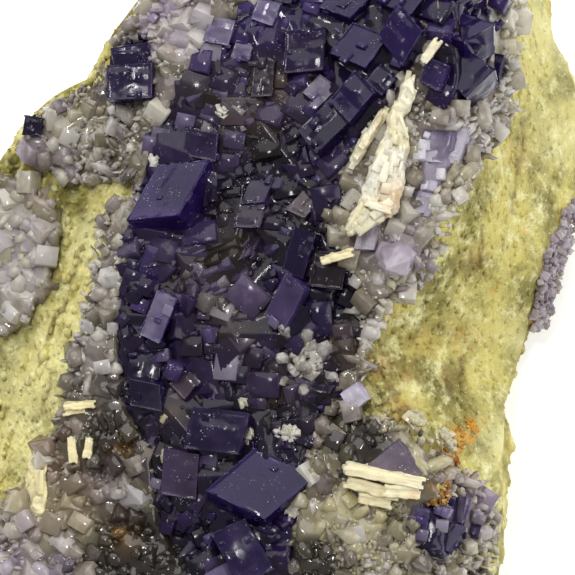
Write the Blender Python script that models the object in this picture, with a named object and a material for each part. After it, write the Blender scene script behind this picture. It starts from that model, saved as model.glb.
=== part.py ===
"""A hand specimen of purple fluorite with quartz and barite on a block of yellow host rock.

Run it with: blender --background --python part.py

Plan measures are millimetres on the crystal face: x runs right, y runs down the face, and a height h
stands out of it. They are what is seen from VIEW_DISTANCE above the face, so the block widens a
little below it. The face leans back by FACE_LEAN, and the block rests on a flat broken base.
"""

import math

import bmesh
import bpy
import numpy as np
from mathutils import Matrix, Vector, geometry, noise

MM = 0.001
FACE_LEAN = math.radians(15.0)
FACE_CENTRE = (28.75, 28.75)
FACE_HEIGHT = 33.0
VIEW_DISTANCE = 260.0
GAP = 0.3
ROCK_CENTRE = (27.0, 28.0)
ROCK_GRID = 20
ROCK_SIDE_ROWS = 5
BASE_INSET = 3.0

# The rim of the block's upper face, clockwise as seen, starting at the top right.
ROCK_OUTLINE = [
    (47.5, -7.6), (52.6, -5.5), (54.2, 0.0), (55.4, 4.0), (57.4, 8.4), (58.2, 13.0), (58.2, 18.0),
    (56.4, 21.6), (54.3, 26.0), (53.0, 31.0), (51.8, 36.0), (50.4, 40.5), (50.1, 46.0), (50.2, 52.0),
    (49.4, 57.5), (47.6, 61.5), (42.0, 64.5), (33.0, 66.0), (24.0, 65.6), (14.0, 64.0), (4.0, 61.5),
    (-3.6, 57.5), (-6.6, 50.0), (-7.2, 41.0), (-6.4, 33.0), (-4.4, 26.5), (-3.0, 21.5), (-0.8, 17.2),
    (1.2, 14.4), (2.6, 12.2), (5.4, 9.6), (9.0, 7.8), (10.4, 4.8), (12.6, 1.6), (15.2, -1.6),
    (20.0, -4.8), (27.0, -7.0), (35.0, -8.0), (42.0, -8.2),
]

# Planes that bound the block above: height at x = y = 0, slope along x, slope along y.
CRYSTAL_FACE = (-12.17, 0.228, 0.106)
FLANK_TOP = (136.5, -2.667, -0.097)
FLANK_RIGHT = (101.05, -1.733, -1.127)
FLANK_LOW = (38.06, -2.083, 1.135)
FLANK_BOTTOM = (124.5, -2.74, 0.0)
LEFT_SCARP = (-35.0, 1.531, 0.466)
LEFT_LEDGE = (-16.3, 0.25, 0.0)
FRONT_SLOPE = (72.5, 0.0, -1.25)
BACK_SLOPE = (1.8, 0.0, 1.4)
EDGE_ROUNDING = 0.9

# Pits in the face: x, y, depth, radius.
PITS = [(35.0, 31.5, 1.2, 3.4), (34.4, 41.6, 1.4, 3.0), (19.0, 54.5, 1.4, 3.6), (45.4, 51.6, 1.2, 3.4)]


# The shortest edge kept and the flattest join kept (radians), tried in turn.
TIDY_STEPS = [(0.02, 0.01), (0.01, 0.002), (0.004, 0.0005), (0.001, 0.0001), (0.0, 0.0)]

CRUST_THICKNESS = 1.5
CRUST_GRID = 4.4
CLEAR_ABOVE = 6.0
QUARTZ_OUTLINE = [
    (17.0, -3.2), (24.0, -5.4), (36.0, -6.8), (47.0, -6.4), (51.2, -4.4), (51.5, 0.0), (51.3, 6.0),
    (51.0, 11.4), (48.6, 15.4), (45.8, 19.4), (44.2, 23.0), (42.4, 27.6), (39.0, 30.4), (37.3, 32.6),
    (37.0, 37.8), (35.2, 39.8), (36.6, 41.4), (39.2, 41.6), (43.2, 43.4), (47.2, 44.6), (49.4, 47.2),
    (49.8, 53.4), (48.8, 58.4), (44.2, 62.8), (33.0, 64.6), (20.0, 63.8), (10.0, 62.0), (2.2, 59.4),
    (-2.6, 56.0), (-4.6, 51.0), (0.4, 50.4), (3.0, 47.2), (5.2, 43.6), (6.2, 39.6), (7.6, 34.4),
    (8.8, 29.6), (9.8, 25.0), (10.8, 21.2), (12.8, 18.8), (7.6, 18.6), (4.4, 17.0), (1.4, 15.6),
    (2.2, 12.8), (5.2, 10.2), (9.6, 8.0), (11.0, 4.6), (13.2, 1.8),
]
LEFT_QUARTZ_OUTLINE = [
    (-3.6, 20.6), (-0.4, 17.6), (2.8, 17.6), (6.4, 19.6), (6.0, 23.0), (5.6, 28.8), (4.0, 32.0),
    (0.2, 33.8), (-4.4, 33.6), (-5.8, 30.0), (-4.8, 25.4),
]

# A fluorite crystal: the x and y of its nearest corner, how far that stands above the face, the seen
# run of two edges from it (dx, dy) with how far the first one falls away, and the hidden edge's length.
MAIN_CRYSTALS = {
    "big_plate": (17.9, 21.5, 3.6, (-5.45, 0.5), 4.5, (3.1, -5.7), 5.0),
    "behind_big_plate": (21.5, 18.5, 2.2, (-3.5, -1.0), 2.5, (0.3, -4.5), 4.0),
    "long_lower": (31.6, 15.4, 3.4, (-1.9, -2.4), 2.5, (3.3, -3.2), 3.4),
    "long_upper": (34.9, 12.3, 3.6, (-2.0, -2.3), 2.5, (2.6, -3.1), 3.6),
    "long_end": (38.2, 9.6, 2.6, (-1.8, -1.5), 1.5, (1.5, -1.8), 2.6),
    "frosted_face": (15.35, 34.2, 3.2, (-1.45, -1.3), 3.0, (2.25, -4.1), 4.6),
    "frosted_face_foot": (21.2, 36.0, 2.0, (-2.8, -0.3), 2.0, (0.9, -3.6), 3.0),
    "shoulder": (23.9, 45.5, 3.2, (-5.6, -0.6), 3.5, (0.9, -4.2), 4.0),
    "great_cube": (26.5, 52.0, 4.2, (-6.0, -2.8), 4.1, (5.0, -4.2), 5.5),
    "front_left": (24.0, 58.5, 3.2, (-3.0, -5.0), 2.5, (3.5, -1.5), 4.0),
    "front_right": (28.5, 60.2, 3.0, (-2.5, -5.0), 2.0, (3.5, -1.5), 4.0),
    "dark_left": (19.6, 50.0, 2.0, (-3.6, -0.5), 1.8, (0.3, -4.6), 4.0),
    "grey_top": (26.4, 20.2, 2.4, (-2.4, 0.2), 1.5, (1.0, -2.5), 3.0),
    "grey_middle": (25.9, 22.8, 2.2, (-2.6, -0.1), 1.2, (0.6, -2.3), 3.0),
    "grey_foot": (25.2, 25.4, 2.0, (-2.0, 0.9), 1.6, (1.4, -3.0), 3.0),
    "black_left": (30.3, 28.0, 3.0, (-2.2, -0.8), 2.0, (1.3, -4.6), 4.0),
    "black_right": (34.2, 29.0, 2.4, (-3.4, -0.4), 1.6, (0.6, -3.6), 4.0),
    "clear_blade": (28.3, 33.3, 2.8, (-1.9, -1.8), 1.5, (2.2, -4.3), 2.6),
    "clear_blade_side": (31.4, 33.2, 1.8, (-2.5, 0.4), 1.0, (-0.6, -2.6), 3.0),
    "violet_left": (15.9, 38.0, 2.4, (-3.4, 0.4), 1.8, (0.4, -3.0), 3.0),
    "round_left": (16.2, 41.2, 2.2, (-3.2, -0.6), 1.5, (-0.2, -2.8), 3.0),
    "brown_small": (18.4, 40.0, 1.8, (-1.6, -1.6), 1.5, (2.0, -2.4), 3.0),
    "brown_box": (30.4, 21.8, 2.2, (-1.9, -0.9), 1.4, (1.8, -1.9), 2.6),
    "pale_box": (32.0, 10.6, 2.0, (-1.8, -1.4), 1.2, (1.8, -1.9), 2.6),
    "dark_post": (27.2, 9.6, 1.8, (-2.2, 0.1), 1.2, (0.3, -3.6), 3.0),
    "purple_one": (32.3, 7.0, 2.8, (-4.0, 0.3), 2.4, (0.2, -4.4), 4.0),
    "purple_two": (36.5, 6.8, 3.2, (-3.6, -1.6), 2.5, (2.4, -3.2), 4.0),
    "purple_three": (40.2, 6.6, 3.6, (-2.4, -3.0), 2.8, (2.0, -3.4), 4.2),
    "purple_four": (35.0, 1.8, 2.8, (-3.2, -1.2), 2.4, (2.6, -2.8), 4.0),
    "purple_five": (41.0, 1.6, 3.0, (-3.0, -1.4), 2.4, (2.2, -3.0), 4.0),
    "purple_six": (29.0, 0.4, 2.6, (-3.0, -0.8), 2.2, (1.6, -2.8), 4.0),
}
CREST_CRYSTALS = {
    "crest_low": (46.6, 9.8, 3.8, (-3.2, -2.4), 3.0, (3.0, -2.9), 4.6),
    "crest_high": (46.4, 4.2, 4.0, (-3.4, -1.2), 2.8, (3.2, -2.0), 4.6),
    "crest_left": (44.0, 9.2, 2.6, (-2.0, -1.0), 1.5, (0.8, -2.6), 3.2),
    "crest_right": (49.8, 8.6, 2.4, (-2.2, -0.6), 1.5, (0.6, -3.2), 3.4),
    "crest_back": (45.6, -0.6, 3.2, (-2.6, -1.2), 2.4, (2.6, -1.8), 4.0),
    "crest_back_right": (49.6, 0.8, 2.8, (-2.4, -0.8), 2.0, (1.0, -3.0), 4.0),
}
UPPER_LEFT_CRYSTALS = {
    "step_low": (15.2, 9.8, 2.4, (-4.7, 0.2), 1.2, (0.0, -3.6), 4.2),
    "step_high": (15.3, 6.4, 1.8, (-4.0, 0.5), 1.5, (-0.4, -2.2), 3.8),
}
RIM_CRYSTALS = {
    "rim_frosted": (45.9, 16.4, 2.2, (-3.9, -0.3), 2.0, (1.2, -3.8), 4.0),
    "rim_small": (42.8, 21.4, 1.8, (-2.0, -0.3), 1.2, (1.5, -2.5), 3.0),
}
CLEAR_PRISM = (37.4, 25.0, 2.0, (-2.0, -0.1), 1.0, (1.0, -3.4), 3.0)
LILAC_FRAGMENT = (35.6, 38.2, 1.8, (-1.6, 1.2), 1.6, (1.0, 1.8), 2.6)
MAUVE_FRAGMENT = (39.9, 44.4, 2.8, (-3.0, 2.2), 2.2, (2.2, 2.8), 3.4)
POCKET_CRYSTALS = {
    "pocket_top": (46.2, 52.4, 1.8, (-1.8, -0.8), 1.0, (0.5, -3.2), 3.2),
    "pocket_foot": (45.0, 55.2, 1.8, (-2.2, -0.6), 0.8, (1.8, -2.4), 3.0),
    "pocket_left": (42.6, 53.2, 1.6, (-1.6, -0.4), 0.8, (0.4, -2.2), 2.6),
}
PALE_BLOCK = (24.6, 32.0, 1.8, (-3.8, 0.2), 1.5, (0.2, -3.4), 3.0)

MAIN_OUTLINE = [
    (24.0, 1.0), (30.0, -3.4), (42.0, -2.8), (42.3, 4.6), (40.2, 8.8), (37.2, 12.6), (34.8, 16.4),
    (33.6, 20.2), (32.8, 23.4), (34.8, 25.8), (36.2, 28.2), (36.2, 34.6), (34.0, 38.0), (32.6, 40.8),
    (30.8, 46.6), (30.0, 51.0), (29.6, 56.0), (30.4, 61.6), (19.6, 61.8), (18.0, 56.0), (15.6, 52.0),
    (14.8, 45.0), (12.0, 40.0), (11.6, 33.0), (12.6, 27.0), (12.4, 23.4), (14.0, 19.4), (15.2, 13.0),
    (20.0, 6.4),
]
CREST_OUTLINE = [
    (43.6, -2.6), (49.0, -2.2), (49.6, 4.0), (49.2, 9.4), (46.4, 11.2), (43.0, 9.8), (43.3, 4.0),
]
UPPER_LEFT_OUTLINE = [(11.0, 4.6), (15.0, 3.6), (15.6, 9.6), (10.8, 9.9)]
RIM_OUTLINE = [(42.2, 12.8), (46.4, 12.9), (45.6, 16.4), (43.4, 20.6), (41.0, 20.2), (41.8, 16.4)]
POCKET_OUTLINE = [(42.0, 50.2), (46.6, 49.2), (47.0, 54.0), (44.4, 56.2), (41.2, 55.0)]

SMALL_CUBES = 32
SMALL_CUBE_EDGE = (1.7, 3.1)
SMALL_CUBE_SPACING = 2.5
SMALL_CUBE_SEED = 11

BARITE_WALL_OUTLINE = [
    (40.8, 7.2), (39.8, 9.8), (38.5, 12.5), (37.8, 15.0), (36.6, 18.0), (35.6, 20.5), (34.6, 22.8),
    (34.2, 23.8), (35.6, 23.6), (36.8, 21.5), (39.8, 21.2), (40.2, 19.0), (40.6, 16.5), (41.0, 14.0),
    (40.3, 12.0), (41.5, 10.0), (41.6, 8.0),
]
BARITE_WALL_HEIGHT = 4.2
BARITE_FIN_OUTLINE = [
    (38.4, 11.0), (37.4, 12.1), (36.0, 13.8), (35.1, 16.0), (35.6, 16.4), (36.8, 14.6), (37.6, 13.0),
    (38.3, 12.0),
]
BARITE_FIN_HEIGHT = 3.8
BARITE_COLUMN_OUTLINE = [(3.2, 44.6), (4.6, 45.2), (4.8, 48.0), (4.6, 51.6), (3.4, 51.8), (2.6, 48.0)]
BARITE_COLUMN_HEIGHT = 1.6

# A barite blade: centre x and y, how far its middle stands above the face, length, width, thickness,
# the bearing of its length (degrees clockwise from +x as seen) and its tilt towards the viewer.
BARITE_BLADES = {
    "barite_tip": [(43.0, 5.2, 5.6, 2.6, 1.2, 0.8, -55.0, 20.0)],
    "barite_bar_upper": [(37.8, 20.6, 4.6, 2.9, 2.2, 0.8, 18.0, 0.0)],
    "barite_bar_lower": [(33.6, 25.7, 4.8, 3.4, 2.0, 0.8, -16.0, 5.0)],
    "barite_stack": [
        (38.4, 47.7, 3.4, 8.2, 3.0, 0.9, 11.0, 0.0),
        (37.4, 48.9, 2.8, 5.4, 3.0, 0.9, 15.0, 0.0),
        (40.2, 49.2, 2.6, 3.4, 3.0, 0.9, 6.0, 0.0),
        (37.6, 49.9, 2.3, 3.2, 3.0, 0.8, 12.0, 0.0),
    ],
    "barite_pair_left": [
        (7.9, 40.5, 2.0, 3.3, 2.4, 0.6, -4.0, 0.0),
        (7.5, 41.1, 1.7, 2.2, 2.4, 0.6, -6.0, 0.0),
    ],
    "barite_blade_left": [(7.2, 45.0, 1.8, 2.4, 2.0, 0.6, 84.0, 0.0)],
    "barite_blade_inner": [(8.8, 44.8, 1.8, 1.8, 2.0, 0.6, 98.0, 0.0)],
}

# A quartz crystal: base x and y, height of its base above the face, length, radius, and how far it
# leans towards +x and towards +y.
RIM_QUARTZ = [(40.6, 25.0, 0.2, 4.6, 1.9, -0.45, 0.42)]
LEFT_QUARTZ_GRAIN = [(11.2, 28.0, 0.2, 2.6, 1.3, -0.1, -0.1)]
LOW_QUARTZ_GRAIN = [(13.6, 49.4, 0.0, 3.4, 2.2, 0.2, 0.15)]
MIDDLE_QUARTZ = [
    (29.6, 35.0, 0.0, 3.4, 0.9, -0.3, -0.5), (31.2, 35.8, 0.0, 3.6, 1.0, 0.4, -0.3),
    (30.4, 37.4, 0.0, 2.8, 0.9, 0.0, 0.3), (32.0, 37.0, 0.0, 2.6, 0.8, 0.5, 0.2),
]
LOW_QUARTZ_CENTRE = (34.8, 53.2)
LOW_QUARTZ_SPREAD = (4.6, 3.6)
LOW_QUARTZ_COUNT = 13
LOW_QUARTZ_SEED = 5
DRUSE_SEED = 8
DRUSE_COUNT = 18
LEFT_DRUSE_COUNT = 9
DRUSE_SPACING = 3.2

MATERIALS = {
    "host_rock": ((0.42, 0.37, 0.14), 0.85, 0.0),
    "fluorite": ((0.09, 0.06, 0.20), 0.25, 0.0),
    "pale_fluorite": ((0.42, 0.38, 0.52), 0.3, 0.0),
    "quartz": ((0.72, 0.70, 0.74), 0.3, 0.0),
    "barite": ((0.86, 0.82, 0.62), 0.6, 0.0),
}


def clear_scene():
    for obj in list(bpy.data.objects):
        bpy.data.objects.remove(obj, do_unlink=True)


def make_materials():
    made = {}
    for name, (colour, roughness, metallic) in MATERIALS.items():
        material = bpy.data.materials.new(name)
        material.use_nodes = True
        shader = material.node_tree.nodes["Principled BSDF"]
        shader.inputs["Base Color"].default_value = (*colour, 1.0)
        shader.inputs["Roughness"].default_value = roughness
        shader.inputs["Metallic"].default_value = metallic
        material.diffuse_color = (*colour, 1.0)
        made[name] = material
    return made


def plane_height(plane, x, y):
    start, along_x, along_y = plane
    return start + along_x * x + along_y * y


def soft_min(a, b, rounding):
    """The lower of two heights, with the edge between them rounded."""
    near = max(rounding - abs(a - b), 0.0) / rounding
    return min(a, b) - near * near * rounding * 0.25


def relief(x, y):
    """Height of the host rock's surface at a plan point."""
    left = -soft_min(-plane_height(LEFT_SCARP, x, y), -plane_height(LEFT_LEDGE, x, y), EDGE_ROUNDING)
    right = -soft_min(-plane_height(FLANK_RIGHT, x, y), -plane_height(FLANK_LOW, x, y), EDGE_ROUNDING)
    height = plane_height(CRYSTAL_FACE, x, y)
    for plane in (FLANK_TOP, FLANK_BOTTOM, FRONT_SLOPE, BACK_SLOPE):
        height = soft_min(height, plane_height(plane, x, y), EDGE_ROUNDING)
    for side in (left, right):
        height = soft_min(height, side, EDGE_ROUNDING)
    for pit_x, pit_y, depth, radius in PITS:
        away = ((x - pit_x) ** 2 + (y - pit_y) ** 2) / radius**2
        height -= depth * math.exp(-away)
    return height


def face_point(x, y, h):
    """A plan point as millimetres on the face's own axes: right, up the face, and out of it."""
    spread = 1.0 - h / VIEW_DISTANCE
    return Vector(((x - FACE_CENTRE[0]) * spread, (FACE_CENTRE[1] - y) * spread, h))


FACE_TO_BLOCK = Matrix.Translation((0.0, 0.0, FACE_HEIGHT)) @ Matrix.Rotation(FACE_LEAN, 4, "X")


def on_surface(x, y, above=0.0):
    return face_point(x, y, relief(x, y) + above)


def surface_normal(x, y, step=1.6):
    """The direction straight out of the rock's surface, smoothed over a few millimetres."""
    along = on_surface(x + step, y) - on_surface(x - step, y)
    up = on_surface(x, y - step) - on_surface(x, y + step)
    return along.cross(up).normalized()


def outline_radius(angle):
    """Distance from the block's centre to its rim along a bearing, by straight runs between its points."""
    offsets = [(x - ROCK_CENTRE[0], y - ROCK_CENTRE[1]) for x, y in ROCK_OUTLINE]
    bearings = np.array([math.atan2(dy, dx) for dx, dy in offsets])
    radii = np.array([math.hypot(dx, dy) for dx, dy in offsets])
    return float(np.interp(angle, bearings, radii, period=math.tau))


def disc_from_square(s, t):
    """The radius and bearing that a point of the square from -1 to 1 takes on a disc."""
    if s == 0.0 and t == 0.0:
        return 0.0, 0.0
    quarter = math.pi / 4
    if abs(s) > abs(t):
        radius, angle = s, quarter * t / s
    else:
        radius, angle = t, math.pi / 2 - quarter * s / t
    return (radius, angle) if radius >= 0 else (-radius, angle + math.pi)


def rough(point, size, amount):
    """Broken-rock unevenness: a smooth noise of the given grain size and height, in millimetres."""
    return amount * noise.fractal(Vector(point) / size, 0.8, 2.0, 3)


def add_mesh(name, points, faces):
    mesh = bpy.data.meshes.new(name)
    mesh.from_pydata([tuple(p) for p in points], [], faces)
    mesh.validate()
    obj = bpy.data.objects.new(name, mesh)
    bpy.context.scene.collection.objects.link(obj)
    return obj


def make_rock_points():
    """The block's surface on the face's axes: a grid over its upper face, rows down its sides, a base."""
    side = ROCK_GRID + 1
    to_face = FACE_TO_BLOCK.inverted()
    points, faces = [], []
    for row in range(side):
        for column in range(side):
            radius, angle = disc_from_square(2 * column / ROCK_GRID - 1, 2 * row / ROCK_GRID - 1)
            reach = radius * outline_radius(angle)
            x = ROCK_CENTRE[0] + reach * math.cos(angle)
            y = ROCK_CENTRE[1] + reach * math.sin(angle)
            points.append(on_surface(x, y, rough((x, y, 3.0), 9.0, 0.45)))
    for row in range(ROCK_GRID):
        for column in range(ROCK_GRID):
            corner = row * side + column
            faces.append((corner, corner + side, corner + side + 1, corner + 1))
    ring = [column for column in range(side)]
    ring += [row * side + ROCK_GRID for row in range(1, side)]
    ring += [ROCK_GRID * side + column for column in range(ROCK_GRID - 1, -1, -1)]
    ring += [row * side for row in range(ROCK_GRID - 1, 0, -1)]
    rim = [FACE_TO_BLOCK @ points[index] for index in ring]
    middle = sum(rim, Vector()) / len(rim)
    upper = ring
    for row in range(1, ROCK_SIDE_ROWS + 1):
        down = row / ROCK_SIDE_ROWS
        lower = []
        for place in rim:
            outward = Vector((place.x - middle.x, place.y - middle.y, 0.0)).normalized()
            bulge = 1.6 * math.sin(math.pi * down) * min(place.z / 16.0, 1.0) - BASE_INSET * down**2
            spot = Vector((place.x, place.y, place.z * (1.0 - down))) + outward * bulge
            if row < ROCK_SIDE_ROWS:
                spot += outward * rough(spot, 11.0, 1.5)
            else:
                spot += outward * rough((spot.x, spot.y, 40.0), 14.0, 1.2)
            lower.append(len(points))
            points.append(to_face @ spot)
        for k in range(len(ring)):
            following = (k + 1) % len(ring)
            faces.append((upper[k], upper[following], lower[following], lower[k]))
        upper = lower
    points.append(to_face @ Vector((middle.x, middle.y, 0.0)))
    for k in range(len(ring)):
        faces.append((upper[k], upper[(k + 1) % len(ring)], len(points) - 1))
    return points, faces


def bend(face):
    """How far a four-sided face's last corner stands off the plane of the other three."""
    a, b, c, d = (vertex.co for vertex in face.verts)
    return abs((d - a).dot((b - a).cross(c - a).normalized()))


def face_outwards(obj):
    """Splits bent faces of a closed mesh into triangles and turns every face outwards."""
    shape = bmesh.new()
    shape.from_mesh(obj.data)
    bent = [face for face in shape.faces if len(face.verts) == 4 and bend(face) > 1e-5]
    bmesh.ops.triangulate(shape, faces=bent)
    bmesh.ops.recalc_face_normals(shape, faces=shape.faces)
    if shape.calc_volume(signed=True) < 0:
        bmesh.ops.reverse_faces(shape, faces=shape.faces)
    shape.to_mesh(obj.data)
    shape.free()


def inflated(obj, by):
    """A copy of a closed mesh with its surface moved outwards."""
    copy = bpy.data.objects.new(obj.name + "_grown", obj.data.copy())
    bpy.context.scene.collection.objects.link(copy)
    moved = [vertex.co + vertex.normal * by for vertex in copy.data.vertices]
    for vertex, place in zip(copy.data.vertices, moved):
        vertex.co = place
    return copy


def make_slab(outline, height, margin=0.0, depth=2.2):
    """A layer over a plan outline: its top stands height above the rock, its underside is in the rock.

    With a margin it is the space the layer keeps clear: wider by that, and open well above it.
    """
    edge = [Vector(place) for place in outline]
    area = sum(a.cross(b) for a, b in zip(edge, edge[1:] + edge[:1]))
    low = [min(place[axis] for place in edge) for axis in (0, 1)]
    high = [max(place[axis] for place in edge) for axis in (0, 1)]
    inner = []
    for i in range(int((high[0] - low[0]) / CRUST_GRID) + 1):
        for j in range(int((high[1] - low[1]) / CRUST_GRID) + 1):
            spot = Vector((low[0] + (i + 0.5 * (j % 2)) * CRUST_GRID, low[1] + j * CRUST_GRID))
            if min((spot - place).length for place in edge) > CRUST_GRID * 0.45:
                inner.append(spot)
    loop = [(k, (k + 1) % len(edge)) for k in range(len(edge))]
    flat, _, cells, *_ = geometry.delaunay_2d_cdt(edge + inner, loop, [], 1, 1e-5)
    used = sorted({index for cell in cells for index in cell})
    place_of = {index: k for k, index in enumerate(used)}
    starts, outs, lumps = [], [], []
    for index in used:
        x, y = flat[index]
        start = on_surface(x, y)
        if index < len(edge):
            run = (edge[(index + 1) % len(edge)] - edge[index - 1]).normalized()
            start += Vector((run.y, run.x, 0.0)) * math.copysign(margin, area)
        starts.append(start)
        outs.append(surface_normal(x, y))
        lumps.append(0.0 if margin else rough((x, y, 7.0), 3.6, 0.5))
    levels = [height + CLEAR_ABOVE, height + margin] if margin else [height]
    points = []
    for level in levels:
        points += [start + out * (level + lump) for start, out, lump in zip(starts, outs, lumps)]
    points += [start - out * (depth + 4.0 * margin) for start, out in zip(starts, outs)]
    upper = [[place_of[index] for index in cell] for cell in cells]
    faces = upper + [[index + len(levels) * len(used) for index in reversed(cell)] for cell in upper]
    sides = {(a, b) for cell in upper for a, b in zip(cell, cell[1:] + cell[:1])}
    for a, b in sorted(sides):
        if (b, a) in sides:
            continue
        for top in range(0, len(levels) * len(used), len(used)):
            low = top + len(used)
            faces += [[b + top, a + top, a + low], [b + top, a + low, b + low]]
    slab = add_mesh("slab", points, faces)
    face_outwards(slab)
    return slab


def make_box(corner, edges, margin=0.0):
    """A closed box from a corner and its three edges, each side moved out by margin."""
    units = [edge.normalized() for edge in edges]
    start = corner - sum((unit * margin for unit in units), Vector())
    spans = [unit * (edge.length + 2 * margin) for unit, edge in zip(units, edges)]
    points = [start + spans[0] * i + spans[1] * j + spans[2] * k for i in (0, 1) for j in (0, 1) for k in (0, 1)]
    faces = [(0, 1, 3, 2), (4, 6, 7, 5), (0, 4, 5, 1), (2, 3, 7, 6), (0, 2, 6, 4), (1, 5, 7, 3)]
    box = add_mesh("box", points, faces)
    face_outwards(box)
    return box


def crystal_edges(first, fall, second, hidden_length):
    """Three square edges of a crystal from how two of them are seen; the third goes into the face."""
    a = Vector((first[0], -first[1], -fall))
    flat_dot = first[0] * second[0] + first[1] * second[1]
    b = Vector((second[0], -second[1], flat_dot / fall))
    c = a.cross(b).normalized() * hidden_length
    return [a, b, c if c.z < 0 else -c]


def make_fluorite(spec, margin=0.0):
    x, y, above, first, fall, second, hidden_length = spec
    return make_box(on_surface(x, y, above), crystal_edges(first, fall, second, hidden_length), margin)


def surface_axes(x, y, spin):
    """Axes that stand on the face at a plan point, turned about its normal."""
    step = 0.4
    along = (on_surface(x + step, y) - on_surface(x - step, y)).normalized()
    up = (on_surface(x, y - step) - on_surface(x, y + step)).normalized()
    normal = along.cross(up).normalized()
    turned = Matrix.Rotation(spin, 3, normal) @ along
    return turned, normal.cross(turned), normal


def make_small_cube(spec, margin=0.0):
    """A small cube sunk in the crust, turned by spin and tipped off the face's normal."""
    x, y, edge, spin, tip, tip_bearing = spec
    along, across, normal = surface_axes(x, y, spin)
    tilt = Matrix.Rotation(tip, 3, math.cos(tip_bearing) * along + math.sin(tip_bearing) * across)
    axes = [tilt @ (direction * edge) for direction in (along, across, normal)]
    corner = on_surface(x, y, 0.9) - sum(axes, Vector()) * 0.5 + normal * (edge * 0.12)
    return make_box(corner, axes, margin)


def make_blade(spec, margin=0.0):
    x, y, above, length, width, thickness, bearing, tilt = spec
    turn = Matrix.Rotation(math.radians(-bearing), 3, "Z") @ Matrix.Rotation(math.radians(-tilt), 3, "Y")
    axes = [turn @ Vector(size) for size in ((length, 0, 0), (0, thickness, 0), (0, 0, -width))]
    corner = on_surface(x, y, above) - axes[0] * 0.5 - axes[1] * 0.5
    return make_box(corner, axes, margin)


def make_quartz(spec, margin=0.0):
    """A six-sided quartz prism with a pointed end."""
    x, y, sunk, length, radius, lean_x, lean_y = spec
    axis = Vector((lean_x, -lean_y, 1.0)).normalized()
    side = axis.orthogonal().normalized()
    other = axis.cross(side)
    foot = on_surface(x, y, sunk - 1.0) - axis * margin
    wide = radius + margin
    shoulder = foot + axis * (length + 1.0 + margin - radius * 1.1)
    points = []
    for level in (foot, shoulder):
        for k in range(6):
            turn = math.tau * k / 6
            points.append(level + (side * math.cos(turn) + other * math.sin(turn)) * wide)
    points.append(foot + axis * (length + 1.0 + 2 * margin))
    faces = [tuple(reversed(range(6)))]
    faces += [(k, (k + 1) % 6, 6 + (k + 1) % 6, 6 + k) for k in range(6)]
    faces += [(6 + k, 6 + (k + 1) % 6, 12) for k in range(6)]
    prism = add_mesh("prism", points, faces)
    face_outwards(prism)
    return prism


def inside(x, y, outline):
    """Whether a plan point lies inside an outline."""
    crossings = 0
    for (ax, ay), (bx, by) in zip(outline, outline[1:] + outline[:1]):
        if (ay > y) != (by > y) and x < ax + (y - ay) / (by - ay) * (bx - ax):
            crossings += 1
    return crossings % 2 == 1


def edge_distance(x, y, outline):
    """Distance from a plan point to the nearest side of an outline."""
    spot = Vector((x, y))
    nearest = math.inf
    for a, b in zip(outline, outline[1:] + outline[:1]):
        foot, along = geometry.intersect_point_line(spot, Vector(a), Vector(b))
        place = Vector(a).lerp(Vector(b), min(max(along, 0.0), 1.0))
        nearest = min(nearest, (spot - place).length)
    return nearest


def scatter(outline, count, spacing, seed, taken=(), inset=0.0):
    """Plan points in an outline, none closer than spacing to another or to a taken one."""
    draw = np.random.default_rng(seed)
    xs, ys = zip(*outline)
    found = []
    for _ in range(count * 60):
        x, y = draw.uniform(min(xs), max(xs)), draw.uniform(min(ys), max(ys))
        if not inside(x, y, outline) or edge_distance(x, y, outline) < inset:
            continue
        if all(math.hypot(x - a, y - b) >= spacing for a, b in [*found, *taken]):
            found.append((x, y))
        if len(found) == count:
            break
    return found


def small_cube_specs():
    draw = np.random.default_rng(SMALL_CUBE_SEED)
    taken = [(spec[0] + 0.4 * spec[3][0], spec[1] + 0.4 * spec[5][1]) for spec in MAIN_CRYSTALS.values()]
    specs = []
    inset = SMALL_CUBE_EDGE[1] * 0.6
    for x, y in scatter(MAIN_OUTLINE, SMALL_CUBES, SMALL_CUBE_SPACING, SMALL_CUBE_SEED, taken, inset):
        edge = draw.uniform(*SMALL_CUBE_EDGE)
        specs.append((x, y, edge, draw.uniform(0, math.tau), draw.uniform(0.2, 0.9), draw.uniform(0, math.tau)))
    return specs


def low_quartz_specs():
    draw = np.random.default_rng(LOW_QUARTZ_SEED)
    specs = []
    for k in range(LOW_QUARTZ_COUNT):
        turn, reach = 2.4 * k, math.sqrt((k + 0.5) / LOW_QUARTZ_COUNT)
        x = LOW_QUARTZ_CENTRE[0] + LOW_QUARTZ_SPREAD[0] * reach * math.cos(turn)
        y = LOW_QUARTZ_CENTRE[1] + LOW_QUARTZ_SPREAD[1] * reach * math.sin(turn)
        length, radius = draw.uniform(2.2, 3.6), draw.uniform(0.55, 0.95)
        specs.append((x, y, 0.0, length, radius, draw.uniform(-0.7, 0.7), draw.uniform(-0.7, 0.7)))
    return specs


def druse_specs(outline, count, seed):
    """Short quartz points that stand over a crust, away from the fluorite."""
    draw = np.random.default_rng(seed)
    specs = []
    for x, y in scatter(outline, count * 3, DRUSE_SPACING, seed, inset=1.2):
        near_fluorite = any(
            inside(x, y, other) or edge_distance(x, y, other) < 1.6 for other in (MAIN_OUTLINE, CREST_OUTLINE))
        if near_fluorite or len(specs) == count:
            continue
        length, radius = draw.uniform(2.4, 3.6), draw.uniform(0.8, 1.5)
        specs.append((x, y, 0.0, length, radius, draw.uniform(-0.4, 0.4), draw.uniform(-0.4, 0.4)))
    return specs


MAKERS = {"crystal": make_fluorite, "cube": make_small_cube, "blade": make_blade, "quartz": make_quartz}


def make_shapes(forms, margin=0.0):
    """The closed shapes of one growth. Each form is a kind with its measures."""
    shapes = []
    for kind, measures in forms:
        if kind == "slab":
            outline, height = measures
            shapes.append(make_slab(outline, height, margin))
        else:
            shapes.append(MAKERS[kind](measures, margin))
    return shapes


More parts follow.
